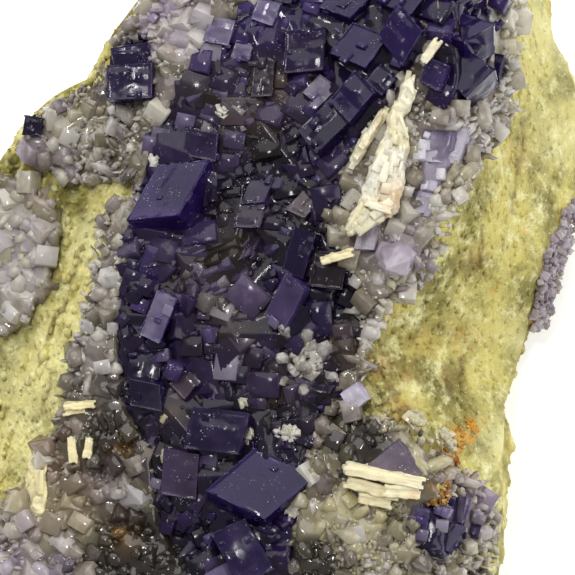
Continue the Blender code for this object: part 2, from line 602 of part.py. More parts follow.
def is_closed(mesh):
    """Whether every edge of a mesh has exactly two faces."""
    shape = bmesh.new()
    shape.from_mesh(mesh)
    bmesh.ops.triangulate(shape, faces=shape.faces, ngon_method="EAR_CLIP")
    bmesh.ops.remove_doubles(shape, verts=shape.verts, dist=1e-4)
    closed = all(len(edge.link_faces) == 2 for edge in shape.edges)
    shape.free()
    return closed


def boolean(obj, operation, others):
    """Joins or cuts obj with other closed shapes, which are used up."""
    if not others:
        return
    tools = bpy.data.collections.new("tools")
    bpy.context.scene.collection.children.link(tools)
    for other in others:
        bpy.context.scene.collection.objects.unlink(other)
        tools.objects.link(other)
    step = obj.modifiers.new(operation.lower(), "BOOLEAN")
    step.operation = operation
    step.operand_type = "COLLECTION"
    step.collection = tools
    for solver in ("EXACT", "MANIFOLD"):
        step.solver = solver
        bpy.context.view_layer.update()
        graph = bpy.context.evaluated_depsgraph_get()
        result = bpy.data.meshes.new_from_object(obj.evaluated_get(graph))
        if is_closed(result):
            break
    obj.modifiers.clear()
    obj.data = result
    for other in others:
        bpy.data.objects.remove(other, do_unlink=True)
    bpy.data.collections.remove(tools)


def tidied(mesh, shortest, flattest):
    """A mesh with short edges merged, nearly flat joins dissolved and its faces cut to triangles."""
    shape = bmesh.new()
    shape.from_mesh(mesh)
    bmesh.ops.remove_doubles(shape, verts=shape.verts, dist=1e-4)
    bmesh.ops.dissolve_degenerate(shape, dist=shortest, edges=shape.edges)
    bmesh.ops.dissolve_limit(
        shape, angle_limit=flattest, use_dissolve_boundaries=False, verts=shape.verts, edges=shape.edges)
    split = [vertex for vertex in shape.verts if len(vertex.link_edges) == 2]
    bmesh.ops.dissolve_verts(shape, verts=split)
    bmesh.ops.triangulate(shape, faces=shape.faces, ngon_method="EAR_CLIP")
    bmesh.ops.dissolve_degenerate(shape, dist=shortest * 0.5, edges=shape.edges)
    bmesh.ops.triangulate(shape, faces=shape.faces, ngon_method="EAR_CLIP")
    return shape


def tidy(obj):
    """Tidies a cut mesh as far as it stays one closed surface."""
    for shortest, flattest in TIDY_STEPS:
        shape = tidied(obj.data, shortest, flattest)
        closed = all(len(edge.link_faces) == 2 for edge in shape.edges)
        if closed:
            shape.to_mesh(obj.data)
        shape.free()
        if closed:
            break


def keep_largest(obj):
    """Drops the chips that cutting left loose, and keeps the one whole piece."""
    shape = bmesh.new()
    shape.from_mesh(obj.data)
    left = set(shape.verts)
    pieces = []
    while left:
        piece, front = set(), [left.pop()]
        while front:
            vertex = front.pop()
            piece.add(vertex)
            for edge in vertex.link_edges:
                other = edge.other_vert(vertex)
                if other in left:
                    left.discard(other)
                    front.append(other)
        pieces.append(piece)
    pieces.sort(key=len, reverse=True)
    loose = [vertex for piece in pieces[1:] for vertex in piece]
    bmesh.ops.delete(shape, geom=loose, context="VERTS")
    bmesh.ops.triangulate(shape, faces=shape.faces)
    shape.to_mesh(obj.data)
    shape.free()


def make_growth(name, forms, rock_cutter, neighbours):
    """One intergrown solid: its forms joined, then cut clear of the rock and of its neighbours."""
    shapes = make_shapes(forms)
    growth = shapes.pop(0)
    growth.name = name
    boolean(growth, "UNION", shapes)
    cutter = bpy.data.objects.new("rock_cutter", rock_cutter.data.copy())
    bpy.context.scene.collection.objects.link(cutter)
    boolean(growth, "DIFFERENCE", [cutter])
    kept = [[form for form in forms if form[0] != "cube"] for forms in neighbours]
    envelopes = [shape for forms in kept for shape in make_shapes(forms, GAP)]
    layers = [form for forms in kept for form in forms if form[0] == "slab"]
    envelopes += make_shapes(layers)
    boolean(growth, "DIFFERENCE", envelopes)
    tidy(growth)
    keep_largest(growth)
    return growth


def crystals(table):
    return [("crystal", spec) for spec in table.values()]


def quartzes(specs):
    return [("quartz", spec) for spec in specs]


def growth_forms():
    """Every growth as its material and forms, in the order in which one gives way to another."""
    cubes = [("cube", spec) for spec in small_cube_specs()]
    forms = {
        "barite_wall": ("barite", [("slab", (BARITE_WALL_OUTLINE, BARITE_WALL_HEIGHT))]),
        "barite_fin": ("barite", [("slab", (BARITE_FIN_OUTLINE, BARITE_FIN_HEIGHT))]),
        "barite_column": ("barite", [("slab", (BARITE_COLUMN_OUTLINE, BARITE_COLUMN_HEIGHT))]),
    }
    for name, blades in BARITE_BLADES.items():
        forms[name] = ("barite", [("blade", blade) for blade in blades])
    forms["quartz_middle_cluster"] = ("quartz", quartzes(MIDDLE_QUARTZ))
    forms["fluorite_crest"] = ("fluorite", [("slab", (CREST_OUTLINE, 1.8)), *crystals(CREST_CRYSTALS)])
    forms["fluorite_main"] = ("fluorite", [("slab", (MAIN_OUTLINE, 1.6)), *crystals(MAIN_CRYSTALS), *cubes])
    forms["fluorite_upper_left"] = (
        "fluorite", [("slab", (UPPER_LEFT_OUTLINE, 1.6)), *crystals(UPPER_LEFT_CRYSTALS)])
    forms["fluorite_rim"] = ("pale_fluorite", [("slab", (RIM_OUTLINE, 1.4)), *crystals(RIM_CRYSTALS)])
    forms["fluorite_pocket"] = ("fluorite", [("slab", (POCKET_OUTLINE, 1.2)), *crystals(POCKET_CRYSTALS)])
    forms["fluorite_clear_prism"] = ("pale_fluorite", [("crystal", CLEAR_PRISM)])
    forms["fluorite_lilac_fragment"] = ("pale_fluorite", [("crystal", LILAC_FRAGMENT)])
    forms["fluorite_mauve_fragment"] = ("pale_fluorite", [("crystal", MAUVE_FRAGMENT)])
    forms["quartz_rim_crystal"] = ("quartz", quartzes(RIM_QUARTZ))
    forms["quartz_left_grain"] = ("quartz", quartzes(LEFT_QUARTZ_GRAIN))
    forms["quartz_low_grain"] = ("quartz", quartzes(LOW_QUARTZ_GRAIN))
    forms["quartz_crust"] = (
        "quartz",
        [
            ("slab", (QUARTZ_OUTLINE, CRUST_THICKNESS)),
            *quartzes(druse_specs(QUARTZ_OUTLINE, DRUSE_COUNT, DRUSE_SEED)),
            *quartzes(low_quartz_specs()),
        ])
    forms["quartz_crust_left"] = (
        "quartz",
        [
            ("slab", (LEFT_QUARTZ_OUTLINE, CRUST_THICKNESS)),
            *quartzes(druse_specs(LEFT_QUARTZ_OUTLINE, LEFT_DRUSE_COUNT, DRUSE_SEED + 1)),
        ])
    return forms


def main():
    clear_scene()
    materials = make_materials()
    points, faces = make_rock_points()
    rock = add_mesh("matrix_rock", points, faces)
    face_outwards(rock)
    cutter = inflated(rock, GAP * 1.4)
    forms = growth_forms()
    nodes = {"matrix_rock": (rock, "host_rock")}
    above = []
    for name, (material, parts) in forms.items():
        nodes[name] = (make_growth(name, parts, cutter, above), material)
        above.append(parts)
    bpy.data.objects.remove(cutter, do_unlink=True)
    to_world = Matrix.Scale(MM, 4) @ FACE_TO_BLOCK
    for obj, material in nodes.values():
        obj.data.transform(to_world)
        obj.data.materials.clear()
        obj.data.materials.append(materials[material])
        print(obj.name, sum(len(p.vertices) - 2 for p in obj.data.polygons), "triangles")


main()
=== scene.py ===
import math

import bpy
import numpy as np
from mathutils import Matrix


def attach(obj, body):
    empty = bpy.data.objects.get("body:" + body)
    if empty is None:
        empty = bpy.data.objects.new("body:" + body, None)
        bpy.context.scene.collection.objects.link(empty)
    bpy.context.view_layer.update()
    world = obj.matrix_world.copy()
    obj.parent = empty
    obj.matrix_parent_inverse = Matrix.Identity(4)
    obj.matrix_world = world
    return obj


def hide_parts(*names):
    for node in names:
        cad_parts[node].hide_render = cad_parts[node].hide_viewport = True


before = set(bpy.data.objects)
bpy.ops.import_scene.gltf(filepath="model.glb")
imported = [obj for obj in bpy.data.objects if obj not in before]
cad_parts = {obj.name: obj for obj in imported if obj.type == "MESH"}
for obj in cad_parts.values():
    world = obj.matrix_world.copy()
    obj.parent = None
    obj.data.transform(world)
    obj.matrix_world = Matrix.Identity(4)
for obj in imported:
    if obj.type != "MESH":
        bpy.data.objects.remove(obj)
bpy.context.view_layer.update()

# x runs right and y down the crystal face, h stands out of it, all in millimetres as the camera sees them
view = {"centre": 28.75, "distance": 260.0, "lean": math.radians(15.0), "height": 33.0, "fieldWidth": 57.5}


def onFace(x, y, h):
    # the point seen at x, y and standing h out of the face: it draws in to the centre as 1 - h / distance
    spread = 1.0 - h / view["distance"]
    return np.stack([(x - view["centre"]) * spread, (view["centre"] - y) * spread, h + 0.0 * x], axis=-1)


def faceToWorld(points):
    # turned by the lean about X, lifted to its height, and millimetres made metres
    u, v, h = np.moveaxis(points, -1, 0)
    cos, sin = math.cos(view["lean"]), math.sin(view["lean"])
    return np.stack([u, v * cos - h * sin, v * sin + h * cos + view["height"]], axis=-1) * 0.001


def worldToFace(points):
    # the reverse of faceToWorld
    x, y, z = np.moveaxis(points * 1000.0, -1, 0)
    z = z - view["height"]
    cos, sin = math.cos(view["lean"]), math.sin(view["lean"])
    return np.stack([x, y * cos + z * sin, z * cos - y * sin], axis=-1)


def facePlan(points):
    # the x, y at which each point is seen: the reverse of onFace
    spread = 1.0 - points[:, 2] / view["distance"]
    return points[:, 0] / spread + view["centre"], view["centre"] - points[:, 1] / spread


# Noise, worked out on whole arrays of points

def hashOf(cells, seed):
    # a number from 0 to 1 for each whole-number cell, from its coordinates multiplied, mixed and cut short
    key = np.full(cells.shape[0], (seed * 7919 + 17) % 4294967296, dtype=np.uint64)
    for axis, prime in zip(range(cells.shape[1]), (73856093, 19349663, 83492791)):
        key = key ^ (cells[:, axis].astype(np.int64).astype(np.uint64) * np.uint64(prime) & np.uint64(0xFFFFFFFF))
        key = (key ^ (key >> np.uint64(13))) * np.uint64(1274126177) & np.uint64(0xFFFFFFFF)
    return ((key >> np.uint64(8)) & np.uint64(0xFFFF)).astype(float) / 65535.0


def smoothNoise(points, seed):
    # gradient noise: each cell corner's random slope times the distance to it, blended by 6t^5 - 15t^4 + 10t^3
    cells = np.floor(points)
    local = points - cells
    blend = local**3 * (local * (local * 6.0 - 15.0) + 10.0)
    total = np.zeros(len(points))
    for corner in np.ndindex(2, 2, 2):
        place = np.array(corner, dtype=float)
        slope = np.stack([hashOf(cells + place, seed + k) * 2.0 - 1.0 for k in (0, 1, 2)], axis=1)
        weight = np.prod(np.where(place > 0, blend, 1.0 - blend), axis=1)
        total += weight * np.sum(slope * (local - place), axis=1)
    return total * 1.5


def layeredNoise(points, size, octaves, seed):
    # smooth noise of one size plus its halves, each half as strong as the one before
    return sum(smoothNoise(points / size * 2.0**k, seed + 11 * k) * 0.5**k for k in range(octaves))


def crystalCrust(x, y, size, slope, sides, seed, flat=0.28):
    # the upper surface of many small blunt pyramids: one in each jittered cell, its height falling from a tilted
    # flat top by slope times the largest of its sides' directions; gives the height and each crystal's random tone
    best = np.full(x.shape, -1e9)
    tone = np.zeros(x.shape)
    column, row = np.floor(x / size), np.floor(y / size)
    for step in np.ndindex(5, 5):
        cells = np.stack([column + step[0] - 2, row + step[1] - 2], axis=1)
        dx = x - (cells[:, 0] + hashOf(cells, seed)) * size
        dy = y - (cells[:, 1] + hashOf(cells, seed + 1)) * size
        turn = hashOf(cells, seed + 2) * math.tau
        tilt = (hashOf(cells, seed + 3) - 0.5) * slope * 1.3
        sideTurns = [turn + math.tau * k / sides for k in range(sides)]
        fall = np.max([dx * np.cos(angle) + dy * np.sin(angle) for angle in sideTurns], axis=0)
        height = hashOf(cells, seed + 4) * size * 0.8 - np.maximum(fall, size * flat) * slope
        height = height + tilt * (dx * np.cos(turn) + dy * np.sin(turn))
        nearer = height > best
        best = np.where(nearer, height, best)
        tone = np.where(nearer, hashOf(cells, seed + 5), tone)
    return best, tone


def lineDistance(x, y, corners):
    # distance to the nearest of the straight runs between the corners
    nearest = np.full(x.shape, np.inf)
    for (ax, ay), (bx, by) in zip(corners[:-1], corners[1:]):
        runX, runY = bx - ax, by - ay
        along = np.clip(((x - ax) * runX + (y - ay) * runY) / (runX**2 + runY**2), 0.0, 1.0)
        nearest = np.minimum(nearest, np.hypot(x - ax - along * runX, y - ay - along * runY))
    return nearest


def signedDistance(x, y, outline):
    # distance to the nearest side of an outline, positive inside it: from there a level ray crosses it an odd
    # number of times
    crossings = np.zeros(x.shape, dtype=int)
    for (ax, ay), (bx, by) in zip(outline, outline[1:] + outline[:1]):
        if ay != by:
            crossings += ((ay > y) != (by > y)) & (x < ax + (y - ay) / (by - ay) * (bx - ax))
    nearest = lineDistance(x, y, outline + outline[:1])
    return np.where(crossings % 2 == 1, nearest, -nearest)


def raggedDistance(x, y, outline, size, amount, seed):
    # the signed distance shifted by noise, for an uneven boundary
    wander = layeredNoise(np.stack([x, y, 0.0 * x], axis=1), size, 3, seed)
    return signedDistance(x, y, outline) + wander * amount


def bell(x, y, middleX, middleY, radius):
    # 1 at the middle, falling off as e to the minus square of the distance over the radius
    return np.exp(-((x - middleX) ** 2 + (y - middleY) ** 2) / radius**2)


def zoneValue(x, y, base, zones):
    # a value that is blended towards each zone's own value near the zone's middle: x, y, radius, value
    value = np.full(x.shape, float(base))
    for middleX, middleY, radius, wanted in zones:
        near = bell(x, y, middleX, middleY, radius)
        value = value * (1.0 - near) + wanted * near
    return value


# The block's surface

rockForm = {
    "outline": [(47.5, -7.6), (52.6, -5.5), (54.2, 0), (55.4, 4), (57.4, 8.4), (58.2, 13), (58.2, 18), (56.4, 21.6),
                (54.3, 26), (53, 31), (51.8, 36), (50.4, 40.5), (50.1, 46), (50.2, 52), (49.4, 57.5), (47.6, 61.5),
                (42, 64.5), (33, 66), (24, 65.6), (14, 64), (4, 61.5), (-3.6, 57.5), (-6.6, 50), (-7.2, 41),
                (-6.4, 33), (-4.4, 26.5), (-3, 21.5), (-0.8, 17.2), (1.2, 14.4), (2.6, 12.2), (5.4, 9.6), (9, 7.8),
                (10.4, 4.8), (12.6, 1.6), (15.2, -1.6), (20, -4.8), (27, -7), (35, -8), (42, -8.2)],
    "centre": (27, 28), "cells": 216, "sideRows": 44, "baseInset": 3, "rounding": 0.9,
    # height at x = y = 0, slope along x, slope along y
    "crystalFace": (-12.17, 0.228, 0.106), "flankTop": (136.5, -2.667, -0.097),
    "flankRight": (101.05, -1.733, -1.127), "flankLow": (38.06, -2.083, 1.135),
    "flankBottom": (124.5, -2.74, 0), "leftScarp": (-35, 1.531, 0.466), "leftLedge": (-16.3, 0.25, 0),
    "frontSlope": (72.5, 0, -1.25), "backSlope": (1.8, 0, 1.4),
    # pits, and below them the smaller hollows between the crystals: x, y, depth, radius
    "pits": [(35, 31.5, 1.2, 3.4), (34.4, 41.6, 1.4, 3), (19, 54.5, 1.4, 3.6), (45.4, 51.6, 1.2, 3.4)],
    "hollows": [(35, 31, 1.2, 1.8), (34, 41.8, 1.8, 1.3), (18.2, 53.5, 1.6, 2), (12.7, 45, 1, 1.1),
                (20.4, 21, 1, 1.2), (36.4, 24.6, 0.8, 1), (39.2, 51.8, 1.2, 0.8), (25.6, 24.4, 0.8, 1.4)],
    # size, octaves, seed and height of the relief's parts, on top and down the side
    "lumps": (5, 5, 5, 0.8), "crumbs": (1.1, 3, 23, 0.6), "specks": (0.55, 1, 29, 0.14), "grooves": (1, 3, 37, 2.2),
    "sideLumps": (8, 5, 41, 1.2), "sideCrumbs": (1.8, 2, 47, 0.8), "sideLedges": (6, 3, 43, 3.5),
    "sideRust": (5, 4, 63, 2.4), "sidePale": (7, 4, 67, 1.6), "sideCrackShade": (9, 4, 71, 34),
    "crackCut": 0.35, "sideSwell": 1.6, "ledgeDepth": 0.9,
}


def softMin(a, b, rounding):
    # the lower of two heights, with the edge between them rounded by a parabola
    near = np.maximum(rounding - np.abs(a - b), 0.0) / rounding
    return np.minimum(a, b) - near**2 * rounding * 0.25


def dig(x, y, height, pits):
    # a height less each pit's depth times its bell
    for pitX, pitY, depth, radius in pits:
        height = height - depth * bell(x, y, pitX, pitY, radius)
    return height


def relief(x, y):
    # the lowest of the planes that bound the block, where each side is the higher of its two planes, less the pits
    def plane(name):
        start, alongX, alongY = rockForm[name]
        return start + alongX * x + alongY * y
    rounding = rockForm["rounding"]
    height = plane("crystalFace")
    for name in ("flankTop", "flankBottom", "frontSlope", "backSlope"):
        height = softMin(height, plane(name), rounding)
    for upper, lower in (("leftScarp", "leftLedge"), ("flankRight", "flankLow")):
        height = softMin(height, -softMin(-plane(upper), -plane(lower), rounding), rounding)
    return dig(x, y, height, rockForm["pits"])


def ground(x, y):
    # the relief with the smaller hollows
    return dig(x, y, relief(x, y), rockForm["hollows"])


def pointAt(x, y, above):
    # the one point that is seen at x, y and stands above the relief
    x, y = np.array([x]), np.array([y])
    return onFace(x, y, relief(x, y) + above)[0]


def normalAt(x, y, step=1.2):
    # straight out of the surface: the cross product of its slopes along and up the face
    along = onFace(x + step, y, relief(x + step, y)) - onFace(x - step, y, relief(x - step, y))
    up = onFace(x, y - step, relief(x, y - step)) - onFace(x, y + step, relief(x, y + step))
    return unit(np.cross(along, up))


def unit(vectors):
    return vectors / np.maximum(np.linalg.norm(vectors, axis=-1, keepdims=True), 1e-12)


# Shapes: points, faces in groups of one corner count each, and a value at each point for the materials to read

def shape(points, faces, **values):
    filled = {name: np.broadcast_to(np.asarray(value, dtype=float), len(points)) for name, value in values.items()}
    return {"points": points, "faces": faces, "values": filled}


def join(shapes):
    # one shape from several, their face numbers moved up by the points before them
    offset, groups = 0, {}
    for part in shapes:
        for faces in part["faces"]:
            groups.setdefault(faces.shape[1], []).append(faces + offset)
        offset += len(part["points"])
    names = shapes[0]["values"]
    return {
        "points": np.concatenate([part["points"] for part in shapes]),
        "faces": [np.concatenate(group) for group in groups.values()],
        "values": {name: np.concatenate([part["values"][name] for part in shapes]) for name in names},
    }


def newObject(name, data):
    holder = bpy.data.objects.new(name, data)
    bpy.context.scene.collection.objects.link(holder)
    return holder


def addPiece(name, made, material, slot, replaced=()):
    mesh = bpy.data.meshes.new(name)
    points = faceToWorld(made["points"])
    corners = np.concatenate([faces.ravel() for faces in made["faces"]]).astype(np.int32)
    sizes = np.concatenate([np.full(len(faces), faces.shape[1]) for faces in made["faces"]])
    mesh.vertices.add(len(points))
    mesh.vertices.foreach_set("co", points.astype(np.float32).ravel())
    mesh.loops.add(len(corners))
    mesh.loops.foreach_set("vertex_index", corners)
    mesh.polygons.add(len(sizes))
    mesh.polygons.foreach_set("loop_start", (np.cumsum(sizes) - sizes).astype(np.int32))
    mesh.update(calc_edges=True)
    for valueName, values in made["values"].items():
        layer = mesh.attributes.new(valueName, "FLOAT", "POINT")
        layer.data.foreach_set("value", np.ascontiguousarray(values, dtype=np.float32))
    mesh.validate()
    mesh.materials.append(material)
    piece = newObject(name, mesh)
    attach(piece, "root")
    if replaced:
        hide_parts(*replaced)
    print(name, "has", int(np.sum(sizes - 2)), "triangles")


def gridQuads(side):
    # the quads of a square grid with side points each way, numbered row by row
    corner = (np.arange(side - 1)[:, None] * side + np.arange(side - 1)).ravel()
    return np.stack([corner, corner + side, corner + side + 1, corner + 1], axis=1)


def tubeFaces(rows, around):
    # quads between rings of points, and a fan from each end's ring to its middle point; the middles come last
    row, k = np.arange(rows - 1)[:, None] * around, np.arange(around)
    after, count = (k + 1) % around, rows * around
    quads = np.stack([row + k, row + around + k, row + around + after, row + after], -1).reshape(-1, 4)
    first = np.stack([k, after, np.full(around, count)], axis=1)
    last = np.stack([count - around + after, count - around + k, np.full(around, count + 1)], axis=1)
    return [quads, np.concatenate([first, last])]


def cubeLattice(steps, bevel):
    # a cube from -1 to 1 with steps cells along each side; a point past 1 - bevel is drawn onto a ball of
    # that radius, which rounds the edges; also gives each point's outward direction
    ticks = np.concatenate([[-1.0], np.linspace(bevel - 1.0, 1.0 - bevel, steps - 1), [1.0]])
    count = len(ticks)
    i, j = np.meshgrid(np.arange(count), np.arange(count), indexing="ij")
    places, quads = [], []
    for axis in range(3):
        for side in (0, count - 1):
            place = np.zeros((count * count, 3), dtype=int)
            place[:, axis] = side
            place[:, (axis + 1) % 3] = i.ravel()
            place[:, (axis + 2) % 3] = j.ravel()
            quads.append((gridQuads(count) if side else gridQuads(count)[:, ::-1]) + len(places) * count * count)
            places.append(place)
    merged, index = np.unique(np.concatenate(places), axis=0, return_inverse=True)
    flat = ticks[merged]
    core = np.clip(flat, bevel - 1.0, 1.0 - bevel)
    outward = unit(flat - core)
    return core + outward * bevel, index.ravel()[np.concatenate(quads)], outward


def bevelledCube(bevel):
    # a cube from -1 to 1 with flat bevels: three points at each corner, each drawn back along two axes
    signs = np.array(list(np.ndindex(2, 2, 2))) * 2 - 1
    points = (signs[:, None] * np.where(np.eye(3) > 0, 1.0, 1.0 - bevel)).reshape(-1, 3)
    stride = (12, 6, 3)  # how far apart the points of two corners are numbered along each axis
    quads = []
    for axis in range(3):
        second, third = (axis + 1) % 3, (axis + 2) % 3
        b, c = stride[second], stride[third]
        for side in (axis, axis + stride[axis]):
            quads.append([side, side + b, side + b + c, side + c])
        for low in (0, c, b, b + c):
            high = low + stride[axis]
            quads.append([low + second, high + second, high + third, low + third])
    return points, [turnOutwards(points, np.array(quads)), turnOutwards(points, np.arange(24).reshape(8, 3))]


def turnOutwards(points, faces):
    # a face of a shape around the origin is reversed where its normal points at the origin
    a, b, c = points[faces[:, 0]], points[faces[:, 1]], points[faces[:, 2]]
    inward = np.sum(np.cross(b - a, c - a) * points[faces].mean(axis=1), axis=1) < 0
    return np.where(inward[:, None], faces[:, ::-1], faces)


def quartzPoint():
    # a six-sided prism from z = -1 with a six-sided tip at z = 1, unit radius; its tip faces are uneven
    turn = np.arange(6) * math.tau / 6
    ring = np.stack([np.cos(turn), np.sin(turn)], axis=1)
    foot = np.column_stack([ring, np.full(6, -1.0)])
    shoulder = np.column_stack([ring * 0.94, np.where(np.arange(6) % 2, 0.1, 0.6)])
    points = np.concatenate([foot, shoulder, [[0.14, 0.08, 1.0]]])
    k = np.arange(6)
    after = (k + 1) % 6
    sides = np.stack([k, after, 6 + after, 6 + k], axis=1)
    tips = np.stack([6 + k, 6 + after, np.full(6, 12)], axis=1)
    return points, [turnOutwards(points, sides), turnOutwards(points, tips), np.arange(6)[None, ::-1]]


def copies(template, groups, origins, axes, **values):
    # many copies of a small shape: each point is its origin plus the template's coordinates along its axes
    count, size = len(origins), len(template)
    points = origins[:, None, :] + np.einsum("vk,nkc->nvc", template, axes)
    offsets = (np.arange(count) * size)[:, None, None]
    faces = [(group[None] + offsets).reshape(-1, group.shape[1]) for group in groups]
    spread = {name: np.repeat(np.broadcast_to(np.asarray(value, dtype=float), count), size)
              for name, value in values.items()}
    return shape(points.reshape(-1, 3), faces, **spread)


def jittered(outline, spacing, draw, inset=0.0):
    # one random point in each cell of a grid over the outline, kept where it lies far enough inside
    corners = np.array(outline)
    low, high = corners.min(axis=0), corners.max(axis=0)
    i, j = np.meshgrid(np.arange(low[0], high[0], spacing), np.arange(low[1], high[1], spacing))
    x = i.ravel() + draw.random(i.size) * spacing
    y = j.ravel() + draw.random(i.size) * spacing
    keep = signedDistance(x, y, outline) > inset
    return x[keep], y[keep]


def standingAxes(x, y, tip, draw):
    # three square directions at each place: the normal tipped by up to tip, then everything turned about it
    out = normalAt(x, y)
    side = unit(np.cross(out, unit(draw.normal(size=out.shape))))
    across = np.cross(out, side)
    angle = (tip * np.sqrt(draw.random(len(x))))[:, None]
    up, side = out * np.cos(angle) + side * np.sin(angle), side * np.cos(angle) - out * np.sin(angle)
    spin = (draw.random(len(x)) * math.tau)[:, None]
    return np.stack([side * np.cos(spin) + across * np.sin(spin), across * np.cos(spin) - side * np.sin(spin), up], 1)


def discGrid(outline, centre, cells, crowd=1.0):
    # a square grid drawn onto a disc and then out to the outline: the ring number is the distance from the
    # middle, the place along the ring the bearing; crowd below 1 packs the rings near the rim
    s, t = np.meshgrid(np.linspace(-1, 1, cells + 1), np.linspace(-1, 1, cells + 1))
    s, t = s.ravel(), t.ravel()
    wide = np.abs(s) > np.abs(t)
    safeS, safeT = np.where(s == 0, 1.0, s), np.where(t == 0, 1.0, t)
    radius = np.where(wide, s, t)
    angle = np.where(wide, math.pi / 4 * t / safeS, math.pi / 2 - math.pi / 4 * s / safeT)
    angle = np.where(radius < 0, angle + math.pi, angle)
    corners = np.array(outline) - np.array(centre)
    bearing = np.arctan2(corners[:, 1], corners[:, 0])
    reach = np.interp(angle, bearing, np.hypot(corners[:, 0], corners[:, 1]), period=math.tau)
    reach = reach * np.abs(radius) ** crowd
    side, edge = cells + 1, np.arange(cells + 1)
    ring = np.concatenate([edge, edge[1:] * side + cells, cells * side + edge[-2::-1], edge[-2:0:-1] * side])
    return centre[0] + reach * np.cos(angle), centre[1] + reach * np.sin(angle), gridQuads(side), ring


def band(upper, lower):
    # quads between two rings of the same length
    return np.stack([upper, np.roll(upper, -1), np.roll(lower, -1), lower], axis=1)


sheetForm = {
    "over": 0.35,  # how far the layer reaches past its outline
    "overlap": 2.5,  # how far it goes on under another layer
    "fromRim": 0.45,  # how far it stays inside the rock's outline
    "rimStart": 0.6, "rimRun": 0.7, "rimDive": 0.8,  # where it starts to dive near the rim, over what run, how deep
}


def sheet(outline, cell, above, depth, leaveOut=()):
    # a closed layer on a square grid over an outline: its top stands above(x, y) over the ground, its underside
    # lies depth below it, and walls join the two along the grid's ragged edge, which lies in the rock
    corners = np.array(outline)
    low, high = corners.min(axis=0) - 0.6, corners.max(axis=0) + 0.6
    x, y = np.meshgrid(np.arange(low[0], high[0], cell), np.arange(low[1], high[1], cell))
    rows, side = x.shape
    middleX, middleY = (x[:-1, :-1] + cell / 2).ravel(), (y[:-1, :-1] + cell / 2).ravel()
    keep = signedDistance(middleX, middleY, outline) > -sheetForm["over"]
    keep &= signedDistance(middleX, middleY, rockForm["outline"]) > sheetForm["fromRim"]
    for other in leaveOut:
        keep &= signedDistance(middleX, middleY, other) < sheetForm["overlap"]
    keep = np.pad(keep.reshape(rows - 1, side - 1), 1)
    row, column = np.nonzero(keep[1:-1, 1:-1])
    first = row * side + column
    loop = np.stack([first, first + side, first + side + 1, first + 1], axis=1)
    x, y = x.ravel(), y.ravel()
    faces = [loop, loop[:, ::-1] + len(x)]
    for start, (down, right) in enumerate(((0, -1), (1, 0), (0, 1), (-1, 0))):
        edge = loop[~keep[row + 1 + down, column + 1 + right]]
        a, b = edge[:, start], edge[:, (start + 1) % 4]
        faces.append(np.stack([b, a, a + len(x), b + len(x)], axis=1))
    faces = np.concatenate(faces)
    used, index = np.unique(faces, return_inverse=True)
    level = ground(x, y)
    rim = signedDistance(x, y, rockForm["outline"]) - sheetForm["rimStart"]
    rim = np.clip(rim / sheetForm["rimRun"], 0.0, 1.0)
    top = above(x, y) * rim - sheetForm["rimDive"] * (1.0 - rim)
    points = np.concatenate([onFace(x, y, level + top), onFace(x, y, level - depth)])
    return points[used], [index.reshape(faces.shape)]


def faceOutwards(made):
    # the whole shape's faces are reversed where the volume that they enclose comes out negative
    volume = 0.0
    for faces in made["faces"]:
        for k in range(1, faces.shape[1] - 1):
            a, b, c = (made["points"][faces[:, n]] for n in (0, k, k + 1))
            volume += np.sum(a * np.cross(b, c))
    if volume < 0:
        made["faces"] = [faces[:, ::-1] for faces in made["faces"]]
    return made


# Materials: nodes are laid out by small helpers, and what several materials share is a group

def put(tree, socket, value):
    # what comes from another node is linked, a number or colour is set
    if isinstance(value, bpy.types.NodeSocket):
        tree.links.new(value, socket)
    else:
        socket.default_value = value


def addNode(tree, kind, settings=None, **inputs):
    node = tree.nodes.new(kind)
    for name, value in (settings or {}).items():
        setattr(node, name, value)
    for name, value in inputs.items():
        put(tree, node.inputs[name], value)
    return node


def objectPlace(tree):
    return tree.nodes.new("ShaderNodeTexCoord").outputs["Object"]


def readValue(tree, name):
    return addNode(tree, "ShaderNodeAttribute", {"attribute_name": name}).outputs["Fac"]


def noise(tree, place, scale, detail=3.0, roughness=0.55):
    return addNode(tree, "ShaderNodeTexNoise", Vector=place, Scale=scale, Detail=detail, Roughness=roughness).outputs[0]


def stretch(tree, value, low, high, toLow=0.0, toHigh=1.0):
    # a value from low to high is carried to toLow to toHigh, with soft ends
    node = addNode(tree, "ShaderNodeMapRange", {"interpolation_type": "SMOOTHSTEP"})
    for index, number in enumerate((value, low, high, toLow, toHigh)):
        put(tree, node.inputs[index], number)
    return node.outputs[0]


def mixColour(tree, factor, one, two):
    node = addNode(tree, "ShaderNodeMix", {"data_type": "RGBA", "blend_type": "MIX"})
    for index, value in ((0, factor), (6, one), (7, two)):
        put(tree, node.inputs[index], (*value, 1.0) if isinstance(value, tuple) else value)
    return node.outputs[2]


def overlay(tree, colour, look, layers):
    # the look's colours laid over each other in turn, each by its mask
    for mask, name in layers:
        colour = mixColour(tree, mask, colour, look[name])
    return colour


def tint(tree, colour, look, *names):
    # the look's colours laid on by the values of the same names
    return overlay(tree, colour, look, [(readValue(tree, name), name) for name in names])


def combine(tree, operation, one, two):
    node = addNode(tree, "ShaderNodeMath", {"operation": operation})
    put(tree, node.inputs[0], one)
    put(tree, node.inputs[1], two)
    return node.outputs[0]


def times(tree, one, two):
    return combine(tree, "MULTIPLY", one, two)


def shaken(tree, base, value, amount):
    # the base plus the amount times how far the value lies from a half
    return combine(tree, "ADD", base, times(tree, combine(tree, "SUBTRACT", value, 0.5), amount))


def ramp(tree, value, stops):
    node = tree.nodes.new("ShaderNodeValToRGB")
    elements = node.color_ramp.elements
    while len(elements) < len(stops):
        elements.new(0.5)
    for element, (place, colour) in zip(elements, stops):
        element.position = place
        element.color = (*colour, 1.0)
    tree.links.new(value, node.inputs[0])
    return node.outputs[0]


